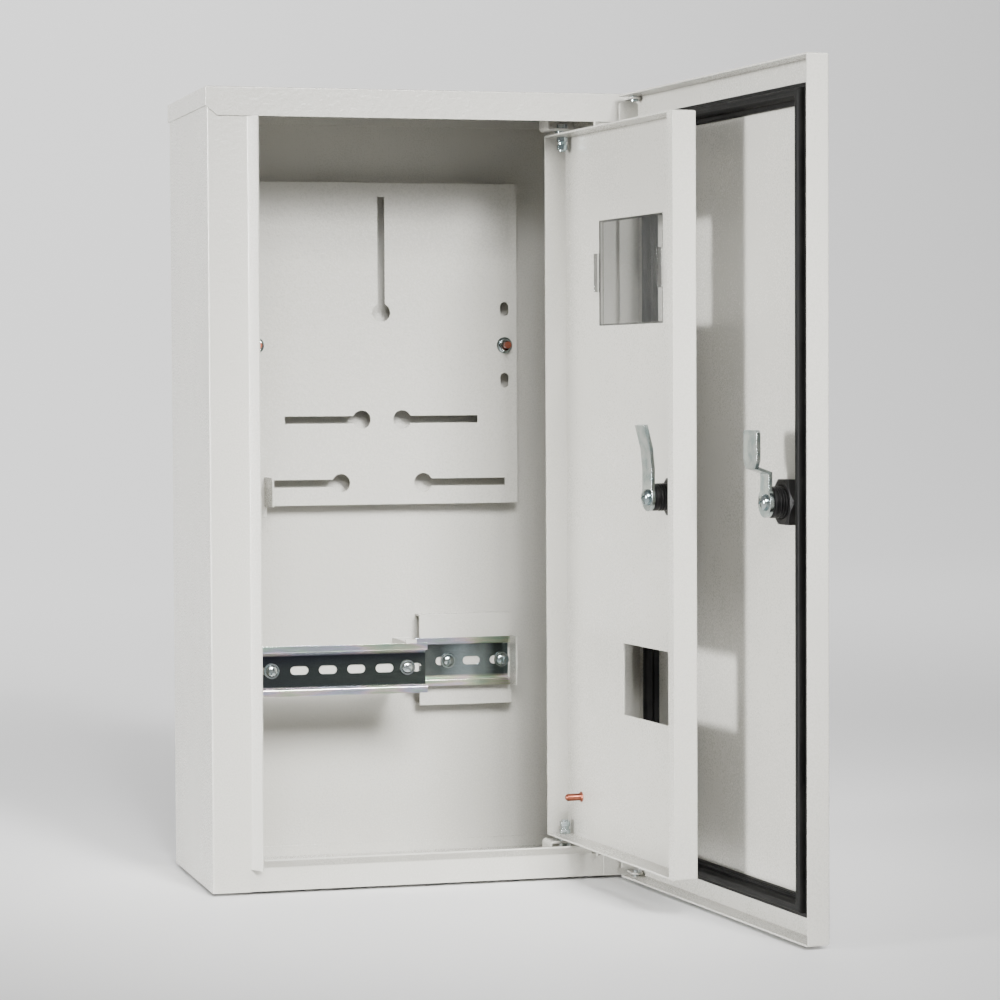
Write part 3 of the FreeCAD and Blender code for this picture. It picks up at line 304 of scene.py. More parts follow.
@dataclass(frozen=True)
class PassivatedRail:
    """Passivated zinc on the rails, whose thin film shows pink, green, yellow and blue; the web's colours are
    mostly painted reflection.
    """

    name: str = "passivated_rail"
    slot: str = "rail_zinc"
    middle: float = -0.1289
    web_edge: Span = (0.0108, 0.0126)
    drift: float = 26.0
    drift_stretch: Spot = (1.0, 1.0, 2.2)
    streaks: float = 420.0
    streak_stretch: Spot = (0.08, 1.0, 1.0)
    film_shares: Span = (0.7, 0.3)
    lip_film: Stops = (
        (0.34, (0.48, 0.66, 0.53)), (0.44, (0.74, 0.78, 0.60)), (0.50, (0.90, 0.74, 0.80)),
        (0.56, (0.64, 0.64, 0.82)), (0.66, (0.54, 0.70, 0.60)))
    web_ends: Span = (-0.104, 0.096)
    web_waver: float = 0.006
    # painted reflection on the web: dark slate on the front rail; on the rear one, a pale blue-white reflected
    # band between greenish and dark clouds
    web_film_and_reflection: Stops = (
        (0.00, (0.055, 0.062, 0.066)), (0.58, (0.080, 0.095, 0.086)), (0.70, (0.14, 0.16, 0.16)),
        (0.745, (0.11, 0.13, 0.135)), (0.82, (0.27, 0.33, 0.36)), (0.91, (0.36, 0.43, 0.46)),
        (0.95, (0.12, 0.15, 0.15)))
    # painted shade: the top of the front web, under its lip, is painted darker and bluer, less so on the rear rail
    top_painted_dark: Colour = (0.010, 0.009, 0.026)
    top_rise: Span = (0.002, 0.010)
    top_cover: float = 0.6
    front_end: Span = (0.62, 0.68)
    rear_share: float = 0.3
    grain: float = 2600.0
    grain_stretch: Spot = (0.1, 1.0, 1.0)
    grain_depth: float = 0.000008
    gloss: Span = (0.15, 0.25)

    def build(self) -> bpy.types.Material:
        """Make the material.

        Returns:
            The material.
        """
        bench = ShaderBench(self.name)
        spot = bench.place()
        across = bench.part(spot, "X")
        height = bench.part(spot, "Z")
        drift = bench.noise(bench.place(self.drift_stretch), self.drift)
        streaks = bench.noise(bench.place(self.streak_stretch), self.streaks)
        film = drift * self.film_shares[0] + streaks * self.film_shares[1]
        lips = bench.ramp(film, self.lip_film)
        web = self.web_reflection_colour(bench, across, height, streaks)
        off_middle = bench.size(height - self.middle)
        colour = bench.blend(bench.between(off_middle, self.web_edge), web, lips)
        grain = bench.noise(bench.place(self.grain_stretch), self.grain)
        gloss = bench.between(grain, (0.3, 0.7), self.gloss)
        return bench.finish({"Base Color": colour, "Metallic": 1.0, "Roughness": gloss,
                             "Normal": bench.bump(grain, self.grain_depth)})

    def web_reflection_colour(self, bench: ShaderBench, across: Signal, height: Signal,
                   streaks: Signal) -> Signal:
        """The web's colour, painted reflection over the film's tint: dark slate on the front rail, pale blue
        clouds on the rear one, and painted shade at the front web's top.

        Args:
            bench: The bench of this material.
            across: The place to the right.
            height: The place upwards.
            streaks: The noise that makes the clouds' edges waver.

        Returns:
            The web's colour.
        """
        along = bench.between(across + streaks * self.web_waver, self.web_ends)
        clouds = bench.ramp(along, self.web_film_and_reflection)
        front = bench.between(along, self.front_end, (1.0, self.rear_share))
        top = bench.between(height - self.middle, self.top_rise, (0.0, self.top_cover))
        return bench.blend(top * front, clouds, self.top_painted_dark)


@dataclass(frozen=True)
class BlackNylon:
    """Moulded black nylon of the locks."""

    name: str = "black_nylon"
    slot: str = "black_plastic"
    colour: Colour = (0.004, 0.004, 0.0043)
    bloom: Colour = (0.008, 0.0077, 0.0077)
    grain: float = 1900.0
    grain_depth: float = 0.00003
    smears: float = 140.0
    gloss: Span = (0.34, 0.50)
    shine: float = 0.18

    def build(self) -> bpy.types.Material:
        """Make the material.

        Returns:
            The material.
        """
        bench = ShaderBench(self.name)
        grain = bench.noise(bench.place(), self.grain)
        smears = bench.noise(bench.place(), self.smears)
        colour = bench.blend(smears, self.colour, self.bloom)
        gloss = bench.between(smears, (0.3, 0.7), self.gloss)
        return bench.finish({"Base Color": colour, "Roughness": gloss,
                             "Normal": bench.bump(grain, self.grain_depth),
                             "Specular IOR Level": self.shine})


@dataclass(frozen=True)
class SealRubber:
    """Black rubber of the door seal and the cable grommets, a little dusty."""

    name: str = "seal_rubber"
    slot: str = "rubber"
    colour: Colour = (0.003, 0.003, 0.003)
    dust: Colour = (0.009, 0.009, 0.0085)
    grain: float = 1500.0
    grain_depth: float = 0.00004
    patches: float = 45.0
    gloss: Span = (0.42, 0.62)
    shine: float = 0.1

    def build(self) -> bpy.types.Material:
        """Make the material.

        Returns:
            The material.
        """
        bench = ShaderBench(self.name)
        grain = bench.noise(bench.place(), self.grain, 3.0, 0.6)
        patches = bench.noise(bench.place(), self.patches, 4.0, 0.6)
        colour = bench.blend(bench.between(patches, (0.4, 0.7)), self.colour, self.dust)
        gloss = bench.between(grain + patches, (0.7, 1.3), self.gloss)
        return bench.finish({"Base Color": colour, "Roughness": gloss,
                             "Normal": bench.bump(grain, self.grain_depth),
                             "Specular IOR Level": self.shine})


@dataclass(frozen=True)
class CopperFlash:
    """Copper plating on the weld studs."""

    name: str = "copper_flash"
    slot: str = "copper"
    colour: Colour = (0.36, 0.12, 0.075)
    tarnish: Colour = (0.22, 0.068, 0.042)
    stains: float = 500.0
    stain_depth: float = 0.000008
    gloss: Span = (0.28, 0.42)

    def build(self) -> bpy.types.Material:
        """Make the material.

        Returns:
            The material.
        """
        bench = ShaderBench(self.name)
        stains = bench.noise(bench.place(), self.stains, 3.0)
        colour = bench.blend(stains, self.colour, self.tarnish)
        gloss = bench.between(stains, (0.3, 0.7), self.gloss)
        return bench.finish({"Base Color": colour, "Metallic": 1.0, "Roughness": gloss,
                             "Normal": bench.bump(stains, self.stain_depth)})


@dataclass(frozen=True)
class ClearPane:
    """Clear moulded plastic of the window, dark at the rim where its edge catches no light."""

    name: str = "clear_pane"
    slot: str = "clear_plastic"
    tint: Colour = (0.12, 0.125, 0.12)
    cover: float = 0.12
    along: Spot = (0.07846, -0.99692, 0.0)
    middle: Span = (0.24165, 0.14565)
    half: Span = (0.0558, 0.03545)
    rim: float = 0.0013
    rim_end: Span = (0.0001, 0.0004)
    rim_tint: Colour = (0.01, 0.011, 0.01)
    rim_cover: float = 0.6
    ripples: float = 60.0
    ripple_depth: float = 0.00002
    gloss: float = 0.04
    shine: float = 0.6

    def build(self) -> bpy.types.Material:
        """Make the material.

        Returns:
            The material.
        """
        bench = ShaderBench(self.name)
        spot = bench.place()
        ripples = bench.noise(spot, self.ripples, 1.0)
        outward = bench.node("ShaderNodeVectorMath", {"operation": "DOT_PRODUCT"},
                             {0: spot, 1: self.along}, "Value")
        height = bench.part(spot, "Z")
        aside = bench.size(outward - self.middle[0])
        above = bench.size(height - self.middle[1])
        past = bench.node("ShaderNodeMath", {"operation": "MAXIMUM"},
                          {0: aside - self.half[0], 1: above - self.half[1]})
        inside = bench.between(past, (-self.rim, -self.rim / 2.0))
        edge = inside * bench.between(past, self.rim_end, (1.0, 0.0))
        colour = bench.blend(edge, self.tint, self.rim_tint)
        return bench.finish({"Base Color": colour, "Roughness": self.gloss,
                             "Alpha": edge * self.rim_cover + self.cover,
                             "Normal": bench.bump(ripples, self.ripple_depth),
                             "Specular IOR Level": self.shine})


class Finish(Enum):
    """The finishes of the box, each for one of the record's material slots."""

    PAINT = PowderCoat()
    ZINC = ZincPlate()
    RAIL = PassivatedRail()
    NYLON = BlackNylon()
    RUBBER = SealRubber()
    COPPER = CopperFlash()
    PANE = ClearPane()

    @property
    def slot(self) -> str:
        """The record's material slot that this finish is for."""
        return self.value.slot


class Paintshop:
    """Makes each finish once and puts it on nodes and pieces."""

    def __init__(self) -> None:
        """Start with no finish made."""
        self.made: dict[Finish, bpy.types.Material] = {}

    def material(self, finish: Finish) -> bpy.types.Material:
        """The material of a finish, made the first time it is asked for."""
        if finish not in self.made:
            self.made[finish] = finish.value.build()
        return self.made[finish]

    def coat(self, item: bpy.types.Object, finish: Finish) -> None:
        """Give a whole object one finish."""
        item.data.materials.clear()
        item.data.materials.append(self.material(finish))

    def dress_nodes(self) -> None:
        """Put a finish on every node of the construction, by its slot in the record."""
        finishes = {finish.slot: finish for finish in Finish}
        for part in frame["record"]["subparts"]:
            node = frame["nodes"][part["node"]]
            wanted = self.material(finishes[part["material_slot"]])
            if not node.material_slots:
                node.data.materials.append(wanted)
            for slot in node.material_slots:
                slot.material = wanted


class Workbench:
    """Modelling moves that the pieces share."""

    CORNER_ROOM = 1.02  # how far past a hexagon's corners its chamfering tool reaches
    CHAMFER_FROM = 0.475  # where a hexagon's chamfer starts, as a part of its width
    CHAMFER_SLOPE = 0.58  # how far a chamfer drops for each length that it goes out

    @staticmethod
    def clear_selection() -> None:
        """Leave no object selected."""
        bpy.ops.object.select_all(action="DESELECT")

    @staticmethod
    def take(item: bpy.types.Object) -> None:
        """Make one object the only one selected and the active one."""
        Workbench.clear_selection()
        item.select_set(True)
        bpy.context.view_layer.objects.active = item

    @staticmethod
    def edit_all(item: bpy.types.Object) -> None:
        """Take an object into edit mode with its whole mesh selected."""
        Workbench.take(item)
        bpy.ops.object.mode_set(mode="EDIT")
        bpy.ops.mesh.select_all(action="SELECT")

    @staticmethod
    def leave_edit() -> None:
        """Go back to object mode."""
        bpy.ops.object.mode_set(mode="OBJECT")

    @staticmethod
    def settle(item: bpy.types.Object, place: Spot | None = None) -> None:
        """Move an object's place, turn and size into its mesh.

        Args:
            item: The object.
            place: Where it is put first, if it isn't there yet.
        """
        if place is not None:
            item.location = place
        Workbench.take(item)
        bpy.ops.object.transform_apply(location=True, rotation=True, scale=True)

    @staticmethod
    def apply(item: bpy.types.Object, kind: str, settings: dict[str, object]) -> None:
        """Add a modifier and apply it.

        Args:
            item: The object.
            kind: The modifier's type.
            settings: Its settings.
        """
        Workbench.take(item)
        made = item.modifiers.new(kind.lower(), kind)
        for name, value in settings.items():
            setattr(made, name, value)
        bpy.ops.object.modifier_apply(modifier=made.name)

    @staticmethod
    def select_edges(item: bpy.types.Object, wanted: Callable[[bpy.types.MeshEdge], bool]) -> None:
        """Select the edges that a test picks, and stay in edit mode.

        Args:
            item: The mesh object.
            wanted: The test of an edge.
        """
        Workbench.take(item)
        bpy.ops.object.mode_set(mode="EDIT")
        bpy.ops.mesh.select_mode(type="EDGE")
        bpy.ops.mesh.select_all(action="DESELECT")
        Workbench.leave_edit()
        for edge in item.data.edges:
            edge.select = wanted(edge)
        bpy.ops.object.mode_set(mode="EDIT")

    @staticmethod
    def trace(spots: Sequence[Vector]) -> bpy.types.Object:
        """Draw a chain of edges from spot to spot, and stay in edit mode.

        Args:
            spots: The corners of the chain, in order.

        Returns:
            The object that holds the chain.
        """
        Workbench.clear_selection()
        bpy.ops.mesh.primitive_plane_add(size=MM)
        item = bpy.context.object
        bpy.ops.object.mode_set(mode="EDIT")
        bpy.ops.mesh.merge(type="CENTER")
        bpy.ops.transform.translate(value=spots[0])
        for before, after in zip(spots, spots[1:]):
            bpy.ops.mesh.extrude_vertices_move(TRANSFORM_OT_translate={"value": after - before})
        return item

    @staticmethod
    def turned(name: str, outline: Outline, along: Axis = Axis.IN,
               sides: int = 48) -> bpy.types.Object:
        """Spin an outline round an axis, as on a lathe.

        Args:
            name: The piece's name.
            outline: The radius and the place along the axis of each corner, in metres.
            along: The axis that it turns round.
            sides: How many steps make the round.

        Returns:
            The turned piece, about its own origin.
        """
        item = Workbench.trace([Vector((radius, 0.0, 0.0)) + along.value * place
                                for radius, place in outline])
        item.name = name
        bpy.ops.mesh.select_all(action="SELECT")
        bpy.ops.mesh.spin(steps=sides, angle=math.tau, center=(0.0, 0.0, 0.0), axis=along.value)
        bpy.ops.mesh.select_all(action="SELECT")
        bpy.ops.mesh.remove_doubles(threshold=MERGE)
        bpy.ops.mesh.normals_make_consistent(inside=False)
        Workbench.leave_edit()
        return item

    @staticmethod
    def carve(item: bpy.types.Object, tool: bpy.types.Object,
              operation: str = "DIFFERENCE") -> None:
        """Cut an object with a tool, or keep what they share, and throw the tool away."""
        settings = {"object": tool, "operation": operation, "solver": "EXACT"}
        Workbench.apply(item, "BOOLEAN", settings)
        bpy.data.objects.remove(tool)

    @staticmethod
    def hexagon(name: str, flats: float, low: float, high: float, along: Axis) -> bpy.types.Object:
        """A hexagonal nut whose corners are chamfered, with no bore.

        Args:
            name: The piece's name.
            flats: The width between opposite flats.
            low: Where it starts along the axis.
            high: Where it ends along the axis.
            along: Its axis.

        Returns:
            The piece, about its own origin.
        """
        corner = flats / math.sqrt(3.0)
        twist = math.pi / 6.0
        turn = (math.pi / 2.0, twist, 0.0) if along is Axis.IN else (0.0, 0.0, twist)
        Workbench.clear_selection()
        bpy.ops.mesh.primitive_cylinder_add(
            vertices=6, radius=corner, depth=high - low, rotation=turn,
            location=along.value * ((low + high) / 2.0))
        item = bpy.context.object
        item.name = name
        Workbench.settle(item)
        wide = corner * Workbench.CORNER_ROOM
        narrow = flats * Workbench.CHAMFER_FROM
        slope = (wide - narrow) * Workbench.CHAMFER_SLOPE
        outline = [(0.0, low - MM), (narrow, low - MM), (narrow, low), (wide, low + slope),
                   (wide, high - slope), (narrow, high), (narrow, high + MM), (0.0, high + MM)]
        Workbench.carve(item, Workbench.turned("corner_tool", outline, along, 64), "INTERSECT")
        return item

    @staticmethod
    def join(items: Sequence[bpy.types.Object]) -> bpy.types.Object:
        """Join some objects into the first of them.

        Args:
            items: One object or more.

        Returns:
            The first one, which now holds them all.
        """
        if len(items) > 1:
            Workbench.take(items[0])
            for item in items[1:]:
                item.select_set(True)
            bpy.ops.object.join()
        return items[0]

    @staticmethod
    def turn_outwards(item: bpy.types.Object) -> None:
        """Flip the faces of a winding round the y axis if they look inwards."""
        out = sum(face.normal.x * face.center.x + face.normal.z * face.center.z
                  for face in item.data.polygons)
        if out < 0.0:
            Workbench.edit_all(item)
            bpy.ops.mesh.flip_normals()
            Workbench.leave_edit()

    @staticmethod
    def smooth(item: bpy.types.Object, sharp: float = 40.0) -> None:
        """Shade an object smooth except over edges sharper than an angle in degrees."""
        Workbench.take(item)
        bpy.ops.object.shade_smooth_by_angle(angle=math.radians(sharp))

    @staticmethod
    def soften(item: bpy.types.Object, radius: float, steps: int = 2, sharp: float = 25.0) -> None:
        """Round an object's sharp edges and shade it smooth.

        Args:
            item: The object.
            radius: How far the rounding reaches from an edge.
            steps: How many faces make the rounding.
            sharp: The angle in degrees past which an edge is rounded.
        """
        settings = {"width": radius, "segments": steps, "limit_method": "ANGLE",
                    "angle_limit": math.radians(sharp), "use_clamp_overlap": True,
                    "harden_normals": False, "miter_outer": "MITER_ARC"}
        Workbench.apply(item, "BEVEL", settings)
        Workbench.smooth(item)
        Workbench.apply(item, "WEIGHTED_NORMAL", {"keep_sharp": True})


@dataclass(frozen=True)
class Stance:
    """Where a sub-assembly's own axes stand.

    Its y runs into the box when its door is shut, and its z is up.
    """

    origin: Spot = (0.0, 0.0, 0.0)
    turn: float = 0.0

    @property
    def matrix(self) -> Matrix:
        """The move from these axes to the frame."""
        turn = Matrix.Rotation(math.radians(self.turn), 4, "Z")
        return Matrix.Translation(Vector(self.origin)) @ turn

    def seat(self, item: bpy.types.Object) -> None:
        """Move a piece from these axes to its place, and keep the place in its mesh."""
        item.matrix_world = self.matrix @ item.matrix_world
        Workbench.settle(item)

    def reach(self, node: str) -> tuple[Vector, Vector]:
        """Measure a node along these axes.

        Args:
            node: The node's name.

        Returns:
            Its lowest and its highest corner.
        """
        back = self.matrix.inverted()
        spots = [back @ vertex.co for vertex in frame["nodes"][node].data.vertices]
        low = Vector([min(spot[axis] for spot in spots) for axis in range(3)])
        high = Vector([max(spot[axis] for spot in spots) for axis in range(3)])
        return low, high

    @staticmethod
    def at_joint(joint_name: str, door_joint: str) -> "Stance":
        """The axes at a joint that rides on a door, which stands open at rest."""
        joints = {joint["name"]: joint for joint in frame["joints"]}
        return Stance(tuple(joints[joint_name]["pos_m"]), -joints[door_joint]["range_deg"][0])


@dataclass
class Piece:
    """What every piece needs: the node that it stands for, its body and its finish."""

    node: str
    body: str
    finish: Finish

    def build(self, shop: Paintshop) -> bpy.types.Object:
        """Build and dress the piece, as each kind of piece does in its own way."""
        raise NotImplementedError

    def hand_over(self, item: bpy.types.Object, shop: Paintshop) -> bpy.types.Object:
        """Paint a finished piece and let it stand in for its node.

        Args:
            item: The finished piece, in its place.
            shop: The paintshop.

        Returns:
            The same piece.
        """
        shop.coat(item, self.finish)
        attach(item, self.body)
        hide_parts(self.node)
        self.finish.slot
        return item


@dataclass
class SeatedPiece(Piece):
    """A piece that is modelled along its sub-assembly's own axes."""

    stance: Stance = Stance()

    def seat(self, item: bpy.types.Object, shop: Paintshop) -> bpy.types.Object:
        """Move a finished piece to its place and hand it over."""
        self.stance.seat(item)
        return self.hand_over(item, shop)


@dataclass
class EasedPart(Piece):
    """A part whose form the construction gives, with the small radius that every real edge has."""

    radius: float = 0.00045
    steps: int = 2
    merge: float = 0.000002
    flat: float = 1.0

    def build(self, shop: Paintshop) -> bpy.types.Object:
        """Copy the node's mesh, merge its loose faces and round its edges.

        Args:
            shop: The paintshop.

        Returns:
            The finished piece.
        """
        source = frame["nodes"][self.node]
        item = bpy.data.objects.new(f"{self.node}_eased", source.data.copy())
        bpy.context.collection.objects.link(item)
        Workbench.edit_all(item)
        bpy.ops.mesh.remove_doubles(threshold=self.merge)
        bpy.ops.mesh.dissolve_limited(angle_limit=math.radians(self.flat))
        Workbench.leave_edit()
        Workbench.soften(item, self.radius, self.steps)
        return self.hand_over(item, shop)


@dataclass
class LockBarrel(SeatedPiece):
    """The black lock housing: a flange outside the door and a threaded barrel inside it."""

    flange_high: float = 3.5 * MM
    flange_round: Outline = ((2.6, 0.0), (1.0, 0.5), (0.0, 1.8))
    flange_edge: float = 0.4 * MM
    edge: float = 0.3 * MM
    play: float = 0.05 * MM
    mouth: float = 0.5 * MM
    collar: float = 3.2 * MM
    collar_foot: float = 0.5 * MM
    collar_sink: float = 0.2 * MM
    tip: Span = (1.0 * MM, 0.9 * MM)
    pitch: float = 1.9 * MM
    thread_depth: float = 0.75 * MM
    thread_over: float = 0.2 * MM
    thread_sink: float = 0.1 * MM
    thread_steps: int = 40
    ridge: tuple[float, ...] = (0.0, 0.30, 0.38, 0.52, 0.60, 0.90)

    def build(self, shop: Paintshop) -> bpy.types.Object:
        """Turn the housing and wind its thread.

        Args:
            shop: The paintshop.

        Returns:
            The finished piece.
        """
        low, high = self.stance.reach(self.node)
        rotor_low, rotor_high = self.stance.reach(self.node.replace("housing", "rotor"))
        flange = (high.x - low.x) / 2.0
        barrel = flange - FLANGE_REACH
        bore = (rotor_high.x - rotor_low.x) / 2.0 + self.play
        root = barrel - self.thread_depth
        end = high.y
        seat = low.y + self.flange_high
        collar = end - self.collar
        outline = [(bore, low.y + self.edge), (bore + self.edge, low.y)]
        outline += [(flange - inwards * MM, low.y + up * MM) for inwards, up in self.flange_round]
        outline += [
            (flange, seat - self.flange_edge), (flange - self.flange_edge, seat), (root, seat),
            (root, collar), (barrel - self.collar_foot, collar),
            (barrel - self.collar_sink, collar + self.edge),
            (barrel - self.collar_sink, end - self.tip[1]), (barrel - self.tip[0], end),
            (bore + self.mouth, end), (bore, end - self.mouth), (bore, low.y + self.edge)]
        body = Workbench.turned(f"{self.node}_turned", outline, sides=64)
        thread = self.wind_thread(root, barrel, seat, collar + self.thread_over)
        item = Workbench.join([body, thread])
        Workbench.smooth(item, 35.0)
        return self.seat(item, shop)

    def wind_thread(self, root: float, crest: float, start: float,
                    stop: float) -> bpy.types.Object:
        """Wind one ridge round the barrel.

        Args:
            root: The radius between the ridges.
            crest: The radius of the ridges.
            start: Where the thread starts along the axis.
            stop: Where it may reach at most.

        Returns:
            The ridge, as one winding surface.
        """
        foot, flank = root - self.thread_sink, crest - self.thread_sink
        radii = (foot, flank, crest, crest, flank, foot)
        item = Workbench.trace([Vector((radius, start + part * self.pitch, 0.0))
                                for radius, part in zip(radii, self.ridge)])
        Workbench.leave_edit()
        settings = {"axis": "Y", "angle": math.tau, "screw_offset": self.pitch,
                    "iterations": int((stop - start) / self.pitch), "steps": self.thread_steps,
                    "render_steps": self.thread_steps, "use_merge_vertices": False}
        Workbench.apply(item, "SCREW", settings)
        Workbench.edit_all(item)
        bpy.ops.mesh.remove_doubles(threshold=MERGE)
        Workbench.leave_edit()
        Workbench.turn_outwards(item)
        return item


@dataclass
class LockNut(SeatedPiece):
    """The black hexagonal nut that clamps a lock housing to its panel."""

    groove: float = 0.5 * MM
    play: float = 0.1 * MM
    lift: float = 0.01 * MM
    edge: float = 0.3 * MM

    def build(self, shop: Paintshop) -> bpy.types.Object:
        """Chamfer a hexagon and bore it to the barrel.

        Args:
            shop: The paintshop.

        Returns:
            The finished piece.
        """
        low, high = self.stance.reach(self.node)
        flange_low, flange_high = self.stance.reach(self.node.replace("nut", "housing"))
        barrel = (flange_high.x - flange_low.x) / 2.0 - FLANGE_REACH
        flats = high.z - low.z
        item = Workbench.hexagon(f"{self.node}_chamfered", flats, low.y, high.y, Axis.IN)
        bore = barrel + self.play
        mouth = barrel + self.groove * 2.0
        outline = [(0.0, low.y - MM), (bore, low.y - MM), (bore, high.y - self.groove),
                   (mouth, high.y + self.lift), (mouth, high.y + MM), (0.0, high.y + MM)]
        Workbench.carve(item, Workbench.turned("bore_tool", outline, sides=64))
        Workbench.soften(item, self.edge, sharp=NUT_SHARP)
        return self.seat(item, shop)


@dataclass
class PanScrews(SeatedPiece):
    """Pan head screws with a cross recess, each over a ring washer where it has one."""

    facing: int = -1
    washer: bool = True
    tall: float = 2.6 * MM
    dome: Outline = ((0.0, 0.0), (0.45, 0.06), (0.78, 0.22), (0.95, 0.45), (1.0, 0.62))
    head: float = 8.6 * MM
    shank: float = 2.4 * MM
    washer_high: float = 0.9 * MM
    washer_edge: float = 0.3 * MM
    arm: float = 2.7 * MM
    arm_wide: float = 1.15 * MM
    arm_deep: float = 1.3 * MM
    turn: float = 20.0
    next_turn: float = 35.0

    def build(self, shop: Paintshop) -> bpy.types.Object:
        """Make one screw at each of the node's solids.

        Args:
            shop: The paintshop.

        Returns:
            The finished piece.
        """
        low, high = self.stance.reach(self.node)
        rim = (high.z - low.z) / 2.0
        front, back = (low.y, high.y) if self.facing < 0 else (high.y, low.y)
        level = (low.z + high.z) / 2.0
        places = sorted({round(low.x + rim, 6), round(high.x - rim, 6)})
        item = Workbench.join([self.make_screw(number, rim, front, back, (across, 0.0, level))
                               for number, across in enumerate(places)])
        item.name = f"{self.node}_pan"
        return self.seat(item, shop)

    def make_screw(self, number: int, rim: float, front: float, back: float,
                   spot: Spot) -> bpy.types.Object:
        """Turn one screw and cut its recess.

        Args:
            number: Its number, which turns its recess a little from its neighbour's.
            rim: The radius of the head or of the washer under it.
            front: The top of the head along the axis.
            back: The end of the shank along the axis.
            spot: Where its axis stands.

        Returns:
            The screw with its washer.
        """
        way = float(self.facing)
        cap = self.head / 2.0 if self.washer else rim
        seat = front - way * self.tall
        outline = [(cap * out, front - way * down * self.tall) for out, down in self.dome]
        if self.washer:
            step = seat + way * self.washer_high
            outline += [(cap, step), (rim - self.washer_edge, step),
                        (rim, step - way * self.washer_edge), (rim, seat)]
        else:
            outline += [(cap, seat)]
        outline += [(self.shank, seat), (self.shank, back), (0.0, back)]
        item = Workbench.turned(f"{self.node}_{number}", outline, sides=40)
        for arm in range(2):
            Workbench.clear_selection()
            bpy.ops.mesh.primitive_cube_add(size=1.0, location=(0.0, front, 0.0))
            tool = bpy.context.object
            tool.scale = (self.arm * 2.0, self.arm_deep * 2.0, self.arm_wide)
            turn = 90.0 * arm + self.turn + self.next_turn * number
            tool.rotation_euler = (0.0, math.radians(turn), 0.0)
            Workbench.settle(tool)
            Workbench.carve(item, tool)
        Workbench.smooth(item, 30.0)
        Workbench.settle(item, spot)
        return item


@dataclass
class HingeNut(SeatedPiece):
    """The tall bright nut of an inner hinge, with a waist turned in its middle."""

    waist: float = 0.42 * MM
    waist_half: float = 0.9 * MM
    waist_open: float = 2.0 * MM
    edge: float = 0.2 * MM

    def build(self, shop: Paintshop) -> bpy.types.Object:
        """Chamfer a tall hexagon and turn its waist.

        Args:
            shop: The paintshop.

        Returns:
            The finished piece.
        """
        low, high = self.stance.reach(self.node)
        flats = high.y - low.y
        item = Workbench.hexagon(f"{self.node}_waisted", flats, low.z, high.z, Axis.UP)
        middle = (low.z + high.z) / 2.0
        inner = flats / 2.0 - self.waist
        outline = [(inner, middle - self.waist_half), (inner, middle + self.waist_half),
                   (flats, middle + self.waist_open), (flats, middle - self.waist_open),
                   (inner, middle - self.waist_half)]
        Workbench.carve(item, Workbench.turned("waist_tool", outline, Axis.UP))
        Workbench.soften(item, self.edge, sharp=NUT_SHARP)
        Workbench.settle(item, ((low.x + high.x) / 2.0, (low.y + high.y) / 2.0, 0.0))
        return self.seat(item, shop)


@dataclass
class PlateNuts(SeatedPiece):
    """The flanged nuts that hold the meter plate on its studs."""

    flats: float = 8.0 * MM
    bore: float = 2.0 * MM
    edge: float = 0.2 * MM
    rim: float = 0.5 * MM
    flange_high: float = 1.3 * MM
    flange_rise: Spot = (0.8, 1.5, 1.6)

    def build(self, shop: Paintshop) -> bpy.types.Object:
        """Make a nut round each stud.

        Args:
            shop: The paintshop.

        Returns:
            The finished piece.
        """
        low, high = self.stance.reach(self.node)
        reach = (high.z - low.z) / 2.0
        level = (low.z + high.z) / 2.0
        shoulder, foot, inside = (high.y - self.flange_high * part for part in self.flange_rise)
        outline = [(self.bore, high.y), (reach, high.y), (reach, high.y - self.rim),
                   (reach - self.rim, shoulder), (self.flats / 2.0, foot), (self.bore, inside),
                   (self.bore, high.y)]
        items = []
        for number, across in enumerate((low.x + reach, high.x - reach)):
            item = Workbench.hexagon(f"{self.node}_{number}", self.flats, low.y,
                                     high.y - self.rim, Axis.IN)
            Workbench.soften(item, self.edge, sharp=NUT_SHARP)
            flange = Workbench.turned("flange", outline, sides=40)
            Workbench.smooth(flange, 35.0)
            Workbench.join([item, flange])
            Workbench.settle(item, (across, 0.0, level))
            items.append(item)
        return self.hand_over(Workbench.join(items), shop)


@dataclass
class EarthStud(SeatedPiece):
    """The copper weld stud inside the inner door, with a rounded tip."""

    rod: float = 2.5 * MM
    disc_edge: Outline = ((0.0, 0.5), (0.4, 0.8))
    neck: Outline = ((0.5, 0.9), (0.0, 1.5))
    tip: float = 0.8
    tip_steps: int = 6

    def build(self, shop: Paintshop) -> bpy.types.Object:
        """Turn the stud.

        Args:
            shop: The paintshop.

        Returns:
            The finished piece.
        """
        low, high = self.stance.reach(self.node)
        disc = (high.x - low.x) / 2.0
        outline = [(0.0, low.y), (disc, low.y)]
        outline += [(disc - inwards * MM, low.y + up * MM) for inwards, up in self.disc_edge]
        outline += [(self.rod + outwards * MM, low.y + up * MM) for outwards, up in self.neck]
        for step in range(self.tip_steps):
            turn = math.radians(90.0 / self.tip_steps * step)
            drop = self.rod * self.tip * (1.0 - math.sin(turn))
            outline.append((self.rod * math.cos(turn), high.y - drop))
        outline.append((0.0, high.y))
        item = Workbench.turned(f"{self.node}_turned", outline, sides=40)
        Workbench.smooth(item)
        Workbench.settle(item, ((low.x + high.x) / 2.0, 0.0, (low.z + high.z) / 2.0))
        return self.seat(item, shop)


